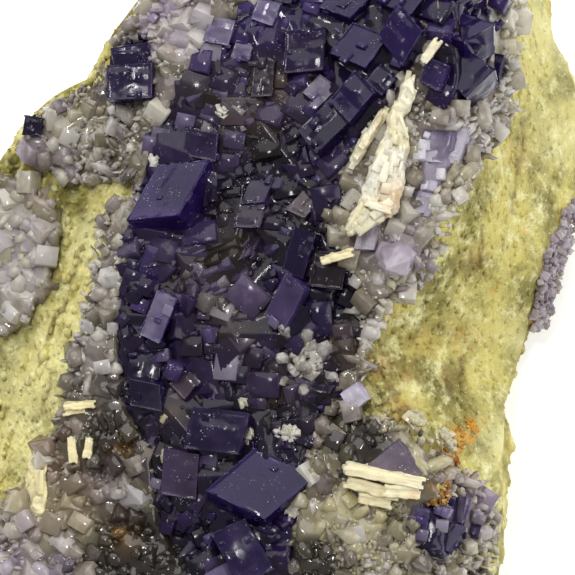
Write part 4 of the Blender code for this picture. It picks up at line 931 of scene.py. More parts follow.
fluoriteForm = {
    "main": {
        "bigPlate": (17.9, 21.5, 4.4, (-5.45, 0.5), 4.5, (3.1, -5.7), 4.4, 0.36, 0),
        "behindBigPlate": (21.6, 16.2, 2.2, (-3.3, -0.7), 1.6, (0.2, -2.8), 4, 0.42, 0),
        "longLower": (31.6, 15.4, 3.4, (-1.9, -2.4), 2.5, (3.3, -3.2), 3.4, 0.22, 0),
        "longUpper": (34.9, 12.3, 3.6, (-2, -2.3), 2.5, (2.6, -3.1), 3.6, 0.28, 0),
        "longEnd": (38.2, 9.6, 2.6, (-1.8, -1.5), 1.5, (1.5, -1.8), 2.6, 0.24, 0),
        "frostedFace": (15.35, 34.2, 3.2, (-1.45, -1.3), 3, (2.25, -4.1), 4.6, 0.3, 0),
        "frostedPlate": (15.9, 34.4, 3.6, (-1.9, -0.9), 0.5, (1.7, -4.5), 1, 0.74, 0),
        "frostedFaceFoot": (21.2, 36, 2, (-2.8, -0.3), 2, (0.9, -3.6), 3, 0.18, 0),
        "shoulder": (23.9, 45.5, 3.2, (-5.6, -0.6), 3.5, (0.9, -4.2), 4, 0.36, 0),
        "greatCube": (26.5, 52, 4.2, (-6, -2.8), 4.1, (5, -4.2), 5.5, 0.26, 0),
        "frontLeft": (24, 58.5, 3.2, (-3, -5), 2.5, (3.5, -1.5), 4, 0.34, 0),
        "frontRight": (28.5, 60.2, 3, (-2.5, -5), 2, (3.5, -1.5), 4, 0.2, 0),
        "darkLeft": (19.6, 50, 2, (-3.6, -0.5), 1.8, (0.3, -4.6), 4, 0.5, 0.15),
        "greyTop": (26.4, 20.2, 2.4, (-2.4, 0.2), 1.5, (1, -2.5), 3, 0.5, 0),
        "greyMiddle": (25.9, 22.8, 2.2, (-2.6, -0.1), 1.2, (0.6, -2.3), 3, 0.5, 0.1),
        "greyFoot": (25.2, 25.4, 2, (-2, 0.9), 1.6, (1.4, -3), 3, 0.45, 0.1),
        "blackLeft": (30.3, 28, 3, (-2.2, -0.8), 2, (1.3, -4.6), 4, 0.1, 0),
        "blackRight": (34.2, 29, 2.4, (-3.4, -0.4), 1.6, (0.6, -3.6), 4, 0.12, 0.12),
        "clearBlade": (28.3, 33.3, 2.8, (-1.9, -1.8), 1.5, (2.2, -4.3), 2.6, 0.6, 0),
        "clearBladeSide": (31.4, 33.2, 1.8, (-2.5, 0.4), 1, (-0.6, -2.6), 3, 0.3, 0),
        "violetLeft": (15.9, 38, 2.4, (-3.4, 0.4), 1.8, (0.4, -3), 3, 0.2, 0),
        "roundLeft": (16.2, 41.2, 2.2, (-3.2, -0.6), 1.5, (-0.2, -2.8), 3, 0.4, 0),
        "brownSmall": (18.4, 40, 1.8, (-1.6, -1.6), 1.5, (2, -2.4), 3, 0.55, 0.25),
        "brownBox": (30.4, 21.8, 2.2, (-1.9, -0.9), 1.4, (1.8, -1.9), 2.6, 0.75, 0.35),
        "paleBox": (32, 10.6, 2, (-1.8, -1.4), 1.2, (1.8, -1.9), 2.6, 0.85, 0.1),
        "darkPost": (27.2, 9.6, 1.8, (-2.2, 0.1), 1.2, (0.3, -3.6), 3, 0.4, 0.1),
        "purpleOne": (32.3, 7, 2.8, (-4, 0.3), 2.4, (0.2, -4.4), 4, 0.3, 0.05),
        "purpleTwo": (36.5, 6.8, 3.2, (-3.6, -1.6), 2.5, (2.4, -3.2), 4, 0.3, 0),
        "purpleThree": (40.2, 6.6, 3.6, (-2.4, -3), 2.8, (2, -3.4), 4.2, 0.28, 0),
        "purpleFour": (35, 1.8, 2.8, (-3.2, -1.2), 2.4, (2.6, -2.8), 4, 0.32, 0),
        "purpleFive": (41, 1.6, 3, (-3, -1.4), 2.4, (2.2, -3), 4, 0.25, 0),
        "purpleSix": (29, 0.4, 2.6, (-3, -0.8), 2.2, (1.6, -2.8), 4, 0.2, 0),
        "glowOne": (22.8, 4.6, 2.2, (-2.6, -0.6), 1.6, (0.8, -2.6), 3, 0.8, 0),
        "glowTwo": (27.2, 2.6, 2.2, (-2.2, -0.8), 1.6, (1, -2.4), 3, 0.75, 0),
        "glowThree": (24.8, 6.2, 1.8, (-1.8, -0.5), 1.2, (0.6, -1.8), 2.6, 0.75, 0)},
    "crest": {
        "crestLow": (46.6, 9.8, 3.8, (-3.2, -2.4), 3, (3, -2.9), 4.6, 0.24, 0),
        "crestHigh": (46.4, 4.2, 4, (-3.4, -1.2), 2.8, (3.2, -2), 4.6, 0.3, 0),
        "crestLeft": (44, 9.2, 2.6, (-2, -1), 1.5, (0.8, -2.6), 3.2, 0.4, 0),
        "crestRight": (49.8, 8.6, 2.4, (-2.2, -0.6), 1.5, (0.6, -3.2), 3.4, 0.34, 0),
        "crestBack": (45.6, -0.6, 3.2, (-2.6, -1.2), 2.4, (2.6, -1.8), 4, 0.25, 0),
        "crestBackRight": (49.6, 0.8, 2.8, (-2.4, -0.8), 2, (1, -3), 4, 0.3, 0)},
    "upperLeft": {
        "stepLow": (15.2, 9.8, 2.6, (-4.7, 0.2), 1.2, (0, -3.6), 4.2, 0.42, 0),
        "stepHigh": (15.3, 6.4, 2.2, (-4, 0.5), 1.5, (-0.4, -2.2), 3.8, 0.36, 0),
        "edgeCube": (4, 13.6, 2.3, (-1.9, -0.3), 0.8, (0.3, -1.9), 2.4, 0.35, 0)},
    "rim": {
        "rimFrosted": (45.9, 16.4, 2.2, (-3.9, -0.3), 2, (1.2, -3.8), 4, 0.58, 0),
        "rimSmall": (42.8, 21.4, 1.8, (-2, -0.3), 1.2, (1.5, -2.5), 3, 0.45, 0)},
    "pocket": {
        "pocketTop": (46.2, 52.4, 1.8, (-1.8, -0.8), 1, (0.5, -3.2), 3.2, 0.78, 0),
        "pocketFoot": (45, 55.2, 1.8, (-2.2, -0.6), 0.8, (1.8, -2.4), 3, 0.5, 0),
        "pocketLeft": (42.6, 53.2, 1.6, (-1.6, -0.4), 0.8, (0.4, -2.2), 2.6, 0.62, 0)},
    "clearPrism": {"clearPrism": (37.4, 25, 2, (-2, -0.1), 1, (1, -3.4), 3, 0.6, 0)},
    "lilacFragment": {"lilacFragment": (35.6, 38.2, 1.8, (-1.6, 1.2), 1.6, (1, 1.8), 2.6, 0.9, 0)},
    "mauveFragment": {"mauveFragment": (39.8, 44, 2.8, (-3.1, 2.6), 2.2, (2.4, 3.2), 3.4, 0.1, 0.15)},
    "facesPerSide": 14, "bevel": 0.035, "flatten": 0.4, "alike": 0.6, "keepClear": [(30.8, 36.2, 2)],
    # growth terraces on each big crystal: how many, how far they rise, how far its faces lie back, their waviness
    "terraces": 30, "rise": (0.03, 0.1), "laidBack": 0.12, "waviness": 0.03,
    # tone, violet and warm away from every zone, for the cubes and for the bed under them
    "cubeBase": (0.36, 0.35, 0.04), "bedBase": (0.4, 0.35, 0.05),
    # x, y, radius, value: where the small cubes are deep, smoky or pale; the tones near 0 in the pits and between the
    # big crystals are painted shade
    "tone": [(38, 3, 6, 0.28), (46.5, 5, 4, 0.26), (22.5, 1.5, 4, 0.8), (29, 1, 3, 0.72), (22, 10, 4.5, 0.55),
             (17, 14.5, 3, 0.55), (24, 14, 4, 0.7), (29, 13, 3, 0.45), (20, 26, 3, 0.55), (27, 17, 3.5, 0.1),
             (26, 22, 3, 0.15), (13, 24.5, 1.6, 0.75), (22.8, 31, 2.8, 0.95), (26, 34, 2.4, 0.8),
             (18.5, 33, 2.6, 0.18), (13, 37, 3, 0.22), (22, 38, 3, 0.5), (27, 38, 3, 0.5), (33, 30, 3.6, 0.2),
             (30, 24.5, 2.4, 0.25), (26, 44, 4, 0.25), (15, 48, 3, 0.55), (16.5, 55, 4, 0.5), (25, 54, 5, 0.24),
             (34, 40, 2.4, 0.35), (44.5, 53, 3, 0.62), (44, 16.5, 3, 0.95), (40.5, 2, 4, 0.34), (33.4, 42.4, 2, 0),
             (27.6, 41, 2, 0.05), (35.6, 31, 2.2, 0.05), (22.4, 24.5, 2, 0.08), (18.6, 54, 2.4, 0.08),
             (24.5, 18.5, 2.4, 0.15)],
    "violet": [(40, 3, 9, 1), (47, 5, 5, 0.95), (35.6, 38.2, 1.2, 1), (39.9, 44.4, 2, 0.4), (44, 16, 2, 0.4),
               (13, 7, 4, 0.6), (22, 12, 4, 0.25), (27, 10, 3, 0.2), (25, 2, 5, 0.9), (17.5, 20, 4.5, 0.95),
               (34, 12, 4, 0.75), (24, 22, 3, 0.3), (24, 27, 3, 0.25), (30, 28, 3, 0.75), (28, 32, 2.5, 0.6),
               (22, 31, 3, 0.1), (17.5, 34, 3.5, 0.85), (13.5, 36, 3, 0.7), (34, 35, 3, 0.2), (24, 40, 4, 0.35),
               (16, 46, 3, 0.25), (25, 53, 6, 0.95), (16, 56.5, 3, 0.15), (44, 53, 3, 0.7)],
    "warm": [(26.6, 10, 3.4, 0.45), (20, 27, 2.6, 0.25), (12.6, 44.8, 1.6, 0.5), (22.8, 31, 3, 0.3),
             (35, 34.5, 2, 0.3), (28, 39, 2.4, 0.2), (17.5, 41, 1, 0.5), (24, 24, 2, 0.2)],
}


def crystalBox(spec):
    # the corner and the three edges of a crystal: the seen two fall away from it, the hidden one is square to both
    x, y, above, first, fall, second, hidden = spec[:7]
    flatten = fluoriteForm["flatten"]
    a = np.array([first[0], -first[1], -fall * flatten])
    b = np.array([second[0], -second[1], (first[0] * second[0] + first[1] * second[1]) / fall * flatten])
    c = unit(np.cross(a, b)) * hidden
    c = c if c[2] < 0 else -c
    edges = np.stack([a, b, c])
    return pointAt(x, y, above), edges if np.linalg.det(edges) > 0 else edges[[1, 0, 2]]


def specsOf(*names):
    # the crystals of some groups in one list
    return [spec for name in names for spec in fluoriteForm[name].values()]


bigSpecs = specsOf("main", "crest", "upperLeft", "rim", "pocket")
fragmentSpecs = specsOf("clearPrism", "lilacFragment", "mauveFragment")


def underCrystal(x, y, specs, margin):
    # whether each place is seen on one of the three near faces of a big crystal, drawn in by the margin
    covered = np.zeros(x.shape, dtype=bool)
    for spec in specs:
        corner, edges = crystalBox(spec)
        planX, planY = facePlan(np.vstack([corner, corner + edges]))
        for one, two in ((1, 2), (1, 3), (2, 3)):
            ax, ay = planX[one] - planX[0], planY[one] - planY[0]
            bx, by = planX[two] - planX[0], planY[two] - planY[0]
            area = ax * by - ay * bx
            if abs(area) > 0.05:
                s = ((x - planX[0]) * by - (y - planY[0]) * bx) / area
                t = ((y - planY[0]) * ax - (x - planX[0]) * ay) / area
                covered |= (s > margin) & (s < 1.0 - margin) & (t > margin) & (t < 1.0 - margin)
    return covered


def quartzValues(x, y, tone):
    # tone, lilac, cream and stain at each place; the darkest places are neither cream nor lilac
    zone = {name: zoneValue(x, y, base, quartzForm[name]) for name, base in quartzForm["base"].items()}
    light = np.clip(1.5 - zoneValue(x, y, 0.45, quartzForm["tone"]), 0.1, 1.0)
    random = hashOf(np.stack([np.round(tone * 1000.0), np.round(tone * 377.0)], axis=1), 5)
    return {"tone": zone["tone"] + (tone - 0.5) * 1.1,
            "lilac": np.clip(zone["lilac"] * (0.4 + 1.2 * random) * light, 0.0, 1.0),
            "cream": np.clip(zone["cream"] * 1.9 * (1.0 - random) * light, 0.0, 1.0),
            "stain": np.clip(zone["stain"] * (0.2 + 1.3 * random), 0.0, 0.6)}


fluoritePatches = [fluoriteOutline, crestOutline, rimOutline, pocketOutline, upperLeftOutline]


def crustAbove(x, y, outline, lumps, thickness, wander, edge, start, dive, share=0.8, thin=()):
    # the highest of some sets of blunt crystals over an even layer, which dives into the rock past a wandering edge
    # and is thinner around the thin spots
    lump = np.max([crystalCrust(x, y, *lumpSet)[0] for lumpSet in lumps], axis=0)
    inside = np.clip(raggedDistance(x, y, outline, *wander) / edge + start, 0.0, 1.0)
    for spot in thin:
        inside = inside * (1.0 - 0.4 * bell(x, y, *spot))
    return (thickness + lump * share) * inside - dive * (1.0 - inside)


def quartzAbove(x, y):
    # blunt crystals of two sizes, lying lower under the fluorite
    lumps = [(quartzForm["grain"] * 1.25, 0.85, 4, 101), (quartzForm["grain"] * 0.6, 0.9, 4, 131)]
    under = sum(np.clip(signedDistance(x, y, patch) / 0.8, 0.0, 1.0) for patch in fluoritePatches)
    height = crustAbove(x, y, quartzForm["outline"], lumps, quartzForm["thickness"],
                        wander=(2.4, 0.9, 141), edge=0.7, start=-0.1, dive=1.6)
    return height - 1.6 * under


def leftQuartzAbove(x, y):
    # the same on the patch beyond the yellow strip
    lumps = [(quartzForm["grain"] * 1.4, 0.8, 5, 151), (quartzForm["grain"] * 0.7, 0.9, 4, 161)]
    return crustAbove(x, y, quartzForm["leftOutline"], lumps, quartzForm["thickness"],
                      wander=(2.4, 1.2, 171), edge=0.7, start=-0.2, dive=1.4)


def seamAbove(x, y):
    # a thin layer of small crystals
    return crustAbove(x, y, quartzForm["seamOutline"], [(1.2, 0.9, 4, 227)], thickness=0.2,
                      wander=(1.4, 0.7, 229), edge=0.5, start=-0.1, dive=1.2)


def crustPiece(outline, cell, above, seed, leaveOut=()):
    # a sheet of quartz whose tone changes from crystal to crystal, painted darker than the points on it as shade
    # between them
    points, faces = sheet(outline, cell, above, quartzForm["depth"], leaveOut)
    x, y = facePlan(points)
    _, tone = crystalCrust(x, y, quartzForm["grain"] * 1.25, 0.85, 4, seed)
    values = quartzValues(x, y, tone)
    # painted shade: the sheet between the points is made darker
    values["tone"] = values["tone"] + quartzForm["crustShade"]
    return shape(points, faces, **values)


clearSpots = fluoritePatches + bariteSpots
druseForm = {
    # outline, spacing, length, radius, lean, seed, what it keeps clear of, share of blocky grains
    "coarse": (quartzForm["outline"], 1.75, (1, 2.2), (0.5, 1.2), 1, 201, clearSpots, 0.5),
    "fine": (quartzForm["outline"], 1, (0.5, 1), (0.2, 0.5), 1.1, 202, clearSpots, 0.5),
    "sugar": (quartzForm["outline"], 0.66, (0.5, 1.1), (0.14, 0.36), 0.9, 203, clearSpots, 0.3),
    "lowSugar": ([(31, 48.6), (41, 49.4), (41.4, 60), (31, 61)],
                 0.5, (0.3, 1), (0.12, 0.36), 1.3, 205, clearSpots, 0.4),
    "middle": ([(29, 34), (31.2, 33.6), (32.6, 35.8), (32.4, 38), (30.4, 38.8), (28.8, 37)],
               0.62, (0.6, 1.5), (0.3, 0.62), 1.2, 204, [], 0.75),
    "leftCoarse": (quartzForm["leftOutline"], 1.5, (0.9, 2), (0.5, 1.2), 0.9, 211, [], 0.5),
    "leftFine": (quartzForm["leftOutline"], 0.9, (0.5, 1), (0.25, 0.5), 0.9, 212, [], 0.5),
    "seam": (quartzForm["seamOutline"], 0.38, (0.4, 0.8), (0.2, 0.5), 1, 221, [], 0.8),
}


def quartzDruse(name):
    # six-sided points and blocky grains over an outline, leaning at random, with their feet in the layer
    outline, spacing, length, radius, lean, seed, clearOf, block = druseForm[name]
    draw = np.random.default_rng(seed)
    x, y = jittered(outline, spacing, draw, 0.3)
    keep = ~underCrystal(x, y, fragmentSpecs + specsOf("upperLeft"), -0.1)
    for other in clearOf:
        keep &= signedDistance(x, y, other) < 0.2
    x, y = x[keep], y[keep]
    axes = standingAxes(x, y, lean, draw)
    long = draw.uniform(*length, len(x))
    wide = draw.uniform(*radius, len(x))
    blocky = draw.random(len(x)) < block
    long = np.where(blocky, wide * draw.uniform(0.7, 1.2, len(x)), long)
    axes = axes * np.stack([wide, wide * draw.uniform(0.7, 1.0, len(x)), long], axis=1)[:, :, None]
    origins = onFace(x, y, ground(x, y)) + normalAt(x, y) * (quartzForm["thickness"] - 0.05 + long * 0.05)[:, None]
    values = quartzValues(x, y, draw.random(len(x)))
    made = []
    for chosen, (template, groups) in ((~blocky, quartzPoint()), (blocky, bevelledCube(0.05))):
        made.append(copies(template, groups, origins[chosen], axes[chosen],
                           **{name: value[chosen] for name, value in values.items()}))
    return join(made)


crumbForm = {
    # x, y, reach, cream
    "pale": [(24.7, 40.2, 0.8, 0.7), (25.2, 43.4, 0.9, 0.5), (26.4, 45.2, 0.9, 0.4), (28.8, 43.3, 1.1, 0.3),
             (31.8, 44.2, 1.2, 0.5), (35.8, 42.8, 0.9, 0.7), (21.2, 41.4, 0.7, 0.4), (17.2, 45.6, 0.8, 0.5),
             (33, 20.4, 0.6, 0.6), (34.4, 23.2, 0.8, 0.4), (32.6, 48.6, 1.6, 0.5), (29.8, 51.4, 0.9, 0.2),
             (17, 42, 0.6, 0.9), (34, 40.4, 0.8, 0.6), (38.4, 42.6, 1, 0.8), (12.8, 10.8, 0.6, 0.4),
             (13.8, 14.8, 0.5, 0.3), (15.8, 16.3, 0.5, 0), (22.6, 11.4, 0.6, 0.2), (36.8, 30.6, 0.9, 0.3),
             (44, 44.4, 1.2, 0.8), (41, 42.2, 0.8, 0.9), (10, 39, 0.7, 0.6), (9.6, 31.4, 0.8, 0.3)],
    # x, y, reach
    "orange": [(46.4, 43, 1.6), (45.6, 43.8, 0.9), (45.2, 45, 1.1), (47, 42.6, 0.6)],
    "brown": [(43, 49.4, 0.9), (42.8, 48.7, 0.8), (43.4, 49.9, 0.8), (43.4, 48.9, 0.8), (44.4, 46.6, 0.7)],
    "perSpot": 30,
    "paleSize": (0.12, 0.5), "ironSize": (0.08, 0.3),
    # how far the middle of a heap stands over the rock
    "paleLift": 1.65, "orangeLift": 0.75, "brownLift": 2.1,
}


def crumbs(heaps, seed, size, lift):
    # heaps of small irregular grains, thickest in the middle of each heap
    draw = np.random.default_rng(seed)
    spots = np.array(heaps).repeat(crumbForm["perSpot"], axis=0)
    offset = draw.normal(0.0, 0.5, (len(spots), 2)) * spots[:, 2:3]
    x, y = (spots[:, :2] + offset).T
    half = draw.uniform(*size, len(x))[:, None] * draw.uniform(0.6, 1.2, (len(x), 3)) * [1.2, 0.9, 0.4]
    axes = standingAxes(x, y, 0.8, draw) * half[:, :, None]
    away = np.hypot(*offset.T) / spots[:, 2]
    inFluorite = np.clip(signedDistance(x, y, fluoriteOutline) * 2.0, 0.0, 1.0)
    height = lift * (0.75 + 0.25 * inFluorite) - away * 0.6
    template, groups = bevelledCube(0.06)
    return copies(template, groups, onFace(x, y, ground(x, y)) + normalAt(x, y) * height[:, None], axes,
                  tone=draw.uniform(-0.6, 0.1, len(x)), lilac=0.0, cream=spots[:, 3] * draw.uniform(0.5, 1.2, len(x)),
                  stain=0.0)


def ironCrumbs(colour, strong, weak):
    # crumbs stained by one value much more than by the other, crumb by crumb
    heaps = [(*spot, 0.0) for spot in crumbForm[colour]]
    heap = crumbs(heaps, 241, crumbForm["ironSize"], crumbForm[colour + "Lift"])
    strength = hashOf(np.floor(np.arange(len(heap["points"]))[:, None] / 24.0), 77) * 0.6 + 0.4
    heap["values"] = {name: np.zeros(len(heap["points"])) for name in rockMarks}
    heap["values"][strong[0]], heap["values"][weak[0]] = strength * strong[1], strength * weak[1]
    return heap


paleCrumbs = crumbs(crumbForm["pale"], 231, crumbForm["paleSize"], crumbForm["paleLift"])
crust = crustPiece(quartzForm["outline"], quartzForm["cell"], quartzAbove, 101, fluoritePatches)
leftCrust = crustPiece(quartzForm["leftOutline"], quartzForm["cell"], leftQuartzAbove, 151)
sugar = [quartzDruse(name) for name in ("sugar", "lowSugar", "middle")]
for part, paler in zip(sugar, quartzForm["sugarPaler"]):
    part["values"]["tone"] -= paler
seamDruse = quartzDruse("seam")
seamDruse["points"] = seamDruse["points"] + quartzForm["seamShift"]
seam = join([seamDruse, crustPiece(quartzForm["seamOutline"], 0.25, seamAbove, 223)])
seam["values"]["lilac"] = np.clip(seam["values"]["lilac"] + quartzForm["seamLilac"], 0.0, 1.0)
addPiece("quartzFinePoints", join(sugar), milkyQuartz, "quartz")
addPiece("quartzCrustMain", join([crust, quartzDruse("coarse"), quartzDruse("fine"), paleCrumbs]), milkyQuartz,
         "quartz", ["quartz_crust"])
addPiece("ironCrumbs", join([ironCrumbs("orange", ("iron", 1.0), ("rust", 0.3)),
                             ironCrumbs("brown", ("rust", 1.9), ("iron", 0.3))]), hostRock, "host_rock")
addPiece("quartzCrustLeft", join([leftCrust, quartzDruse("leftCoarse"), quartzDruse("leftFine")]), milkyQuartz,
         "quartz", ["quartz_crust_left"])
addPiece("quartzSeamRight", seam, milkyQuartz, "quartz")
print("quartz layers made")


def fluoriteZones(x, y, base):
    # tone, violet and warm at each place
    return [zoneValue(x, y, value, fluoriteForm[name]) for name, value in zip(("tone", "violet", "warm"), base)]


def violetOf(spec):
    # the violet at a crystal's nearest corner
    return fluoriteZones(np.array([spec[0]]), np.array([spec[1]]), fluoriteForm["cubeBase"])[1][0]


def bigCrystal(spec, seed):
    # a rounded lattice cube set between its corner and edges; each face carries low oblong growth terraces laid
    # over each other, and a faint waviness
    tone, warm = spec[7:9]
    corner, edges = crystalBox(spec)
    template, quads, outward = cubeLattice(fluoriteForm["facesPerSide"], fluoriteForm["bevel"])
    points = corner + (template + 1.0) * 0.5 @ edges
    normal = unit(outward @ unit(edges))
    facing = np.max(np.abs(outward), axis=1) > 0.999
    axis = np.argmax(np.abs(outward), axis=1)
    count = np.arange(len(template))
    p, q = template[count, (axis + 1) % 3], template[count, (axis + 2) % 3]
    face = axis * 2 + (outward[count, axis] > 0)
    draw = np.random.default_rng(seed)
    height, terraces = np.full(len(template), -fluoriteForm["laidBack"]), fluoriteForm["terraces"]
    for middleP, middleQ, reachP, reachQ, rise, faceNumber in zip(
            *draw.uniform(-0.9, 0.9, (2, terraces)), *draw.uniform(0.2, 0.9, (2, terraces)),
            draw.uniform(*fluoriteForm["rise"], terraces), np.arange(terraces) % 6):
        height += rise * ((np.abs(p - middleP) < reachP) & (np.abs(q - middleQ) < reachQ) & (face == faceNumber))
    wave = layeredNoise(points, 1.6, 2, seed + 3) * fluoriteForm["waviness"]
    points = points + normal * ((height + wave) * facing)[:, None]
    # painted shade: steep faces are darker and more violet than the flat ones, which are left paler and greyer as if
    # lit. Every face is also paler towards its rim
    steepShade = 1.0 - np.clip(normal[:, 2], 0.0, 1.0)
    rimmed = np.maximum(np.abs(p), np.abs(q)) ** 6
    return shape(points, [quads], tone=np.clip(tone - steepShade * 0.12 + rimmed * 0.10, 0.0, 1.0),
                 violet=np.clip(violetOf(spec) - 0.12 + steepShade * 0.4, 0.0, 1.0), warm=warm)


def satelliteCubes(spec, count, draw):
    # small cubes that share a big crystal's directions and stand half out of its faces near its edges
    corner, edges = crystalBox(spec)
    directions = unit(edges)
    place = draw.random((count, 3))
    held = draw.integers(0, 3, count)
    place[np.arange(count), held] = np.where(held == 2, 0.02, draw.integers(0, 2, count) * 0.96 + 0.02)
    size = draw.uniform(0.18, 0.55, (count, 1)) * draw.uniform(0.5, 1.3, (count, 3))
    size[np.arange(count), held] *= draw.uniform(0.25, 0.8, count)
    template, groups = bevelledCube(0.05)
    axes = directions[None] * size[:, :, None]
    tone = np.clip(spec[7] + draw.normal(0.0, 0.08, count), 0.0, 1.0)
    return copies(template, groups, corner + place @ edges, axes, tone=tone, violet=violetOf(spec), warm=spec[8])


def crystalGroup(name, seed, satellites):
    # a group's big crystals, each with its own small cubes
    draw = np.random.default_rng(seed)
    made = []
    for index, spec in enumerate(fluoriteForm[name].values()):
        made += [bigCrystal(spec, seed + index), satelliteCubes(spec, satellites, draw)]
    return made


def sharedAxes(x, y, specs, scatter, draw):
    # the directions of the nearest big crystal, shaken a little and squared again
    middles = np.array([facePlan((corner + edges.sum(axis=0) * 0.4)[None]) for corner, edges in map(crystalBox, specs)])
    nearest = np.argmin(np.hypot(x[:, None] - middles[None, :, 0, 0], y[:, None] - middles[None, :, 1, 0]), axis=1)
    axes = np.array([unit(crystalBox(spec)[1]) for spec in specs])[nearest]
    axes = axes + draw.normal(0.0, scatter, axes.shape)
    up = unit(axes[:, 2])
    side = unit(axes[:, 0] - up * np.sum(axes[:, 0] * up, axis=1, keepdims=True))
    return np.stack([side, np.cross(up, side), up], axis=1)


cubeForm = {
    # outline, spacing, size, lift, tip, seed, inset, margin to the big crystals' faces, added tone
    "large": (fluoriteOutline, 2.1, (1.9, 3.2), -0.3, 0.5, 311, 0.6, -0.16, 0),
    "middling": (fluoriteOutline, 1.5, (1.2, 2), 0, 0.7, 312, 0.3, -0.04, 0),
    "small": (fluoriteOutline, 1, (0.5, 1.1), 0.5, 0.9, 313, 0.2, 0.04, 0),
    "leftHeap": ([(12.2, 27.6), (16.4, 28.2), (22, 30), (21.6, 37), (17.4, 37.4), (12, 34)],
                 1.35, (0.9, 2), 0.9, 0.8, 314, 0, 0.3, 0),
    "crestLarge": (crestOutline, 1.7, (1.4, 2.6), 0.5, 0.9, 322, 0.2, 0.04, 0),
    "crestSmall": (crestOutline, 1, (0.5, 1.1), 0.9, 1, 323, 0.2, 0.04, 0),
    "steps": (upperLeftOutline, 1.2, (0.6, 1.3), 0.7, 0.9, 331, 0.2, 0.04, 0),
    "pocket": (pocketOutline, 1, (0.6, 1.3), 0.5, 0.9, 342, 0.2, 0.04, 0),
    "rim": (rimOutline, 1.2, (0.6, 1.4), 0.6, 0.9, 351, 0.2, 0.04, 0.45),
}


def smallCubes(name):
    # cubes at jittered places, tipped at random or turned like the nearest big crystal, their middles lift times
    # their size over the layer; none stands on the seen faces of a big crystal
    outline, spacing, size, lift, tip, seed, inset, margin, paler = cubeForm[name]
    draw = np.random.default_rng(seed)
    x, y = jittered(outline, spacing, draw, inset)
    free = ~underCrystal(x, y, bigSpecs, margin)
    for clearX, clearY, radius in fluoriteForm["keepClear"]:
        free &= np.hypot(x - clearX, y - clearY) > radius
    x, y = x[free], y[free]
    half = draw.uniform(*size, len(x)) * 0.5
    alike = draw.random(len(x)) < fluoriteForm["alike"]
    axes = np.where(alike[:, None, None], sharedAxes(x, y, bigSpecs, 0.10, draw), standingAxes(x, y, tip, draw))
    axes = axes * (half[:, None] * draw.uniform(0.75, 1.3, (len(x), 3)))[:, :, None]
    origins = onFace(x, y, ground(x, y)) + normalAt(x, y) * (0.6 + half * lift)[:, None]
    tone, violet, warm = fluoriteZones(x, y, fluoriteForm["cubeBase"])
    tone = tone + draw.normal(-0.02, 0.18, len(x))
    warm = warm * draw.uniform(0.2, 1.6, len(x))
    violet = np.clip(violet + draw.normal(0.0, 0.15, len(x)), 0.0, 1.0)
    template, groups = bevelledCube(0.055)
    return copies(template, groups, origins, axes, tone=np.clip(np.clip(tone, 0.02, 1.0) + paler, 0.0, 1.0),
                  violet=violet, warm=np.clip(warm, 0.0, 0.8))


def fluoriteBed(outline, thickness, seed):
    # the layer under the cubes: cube corners of two sizes over the outline, diving into the rock at its edge
    def above(x, y):
        lumps = [(2.4, 0.85, 3, seed, 0.1), (1.2, 0.9, 3, seed + 20, 0.1)]
        return crustAbove(x, y, outline, lumps, thickness, wander=(2.0, 0.5, seed), edge=0.6, start=0.4, dive=1.5,
                          share=0.7, thin=fluoriteForm["keepClear"])
    points, faces = sheet(outline, 0.36, above, 2.0)
    x, y = facePlan(points)
    tone, violet, warm = fluoriteZones(x, y, fluoriteForm["bedBase"])
    # painted shade: the bed keeps only four tenths of the zones' tone, so it lies darker than the cubes over it
    tone = tone * 0.4 + (crystalCrust(x, y, 2.4, 0.85, 3, seed, 0.1)[1] - 0.5) * 0.3
    return shape(points, faces, tone=np.clip(tone, 0.0, 1.0), violet=violet, warm=warm)


fluoritePieces = {
    # node, group, outline, thickness and seed of the bed, seed and satellites of the big crystals, small cubes
    "fluoriteMainBand": ("fluorite_main", "main", fluoriteOutline, 0.9, 301, 400, 5,
                         ["large", "middling", "small", "leftHeap"]),
    "fluoriteCrestCubes": ("fluorite_crest", "crest", crestOutline, 0.9, 321, 450, 5, ["crestLarge", "crestSmall"]),
    "fluoriteUpperLeft": ("fluorite_upper_left", "upperLeft", upperLeftOutline, 0.8, 336, 470, 5, ["steps"]),
    "fluoritePocketCubes": ("fluorite_pocket", "pocket", pocketOutline, 0.3, 341, 480, 3, ["pocket"]),
    "fluoriteRimFrosted": ("fluorite_rim", "rim", rimOutline, 0.6, 356, 490, 5, ["rim"]),
}
for pieceName, (node, group, outline, thickness, bedSeed, seed, satellites, cubes) in fluoritePieces.items():
    made = [fluoriteBed(outline, thickness, bedSeed), *crystalGroup(group, seed, satellites), *map(smallCubes, cubes)]
    finish = (paleFluorite, "pale_fluorite") if group == "rim" else (darkFluorite, "fluorite")
    addPiece(pieceName, join(made), *finish, [node])
for pieceName, group, node in (
        ("fluoriteClearPrism", "clearPrism", "fluorite_clear_prism"),
        ("fluoriteLilacWedge", "lilacFragment", "fluorite_lilac_fragment"),
        ("fluoriteMauveWedge", "mauveFragment", "fluorite_mauve_fragment")):
    addPiece(pieceName, join(crystalGroup(group, 500, 2)), paleFluorite, "pale_fluorite", [node])
print("fluorite made")


# Quartz crystals and grains that stand apart

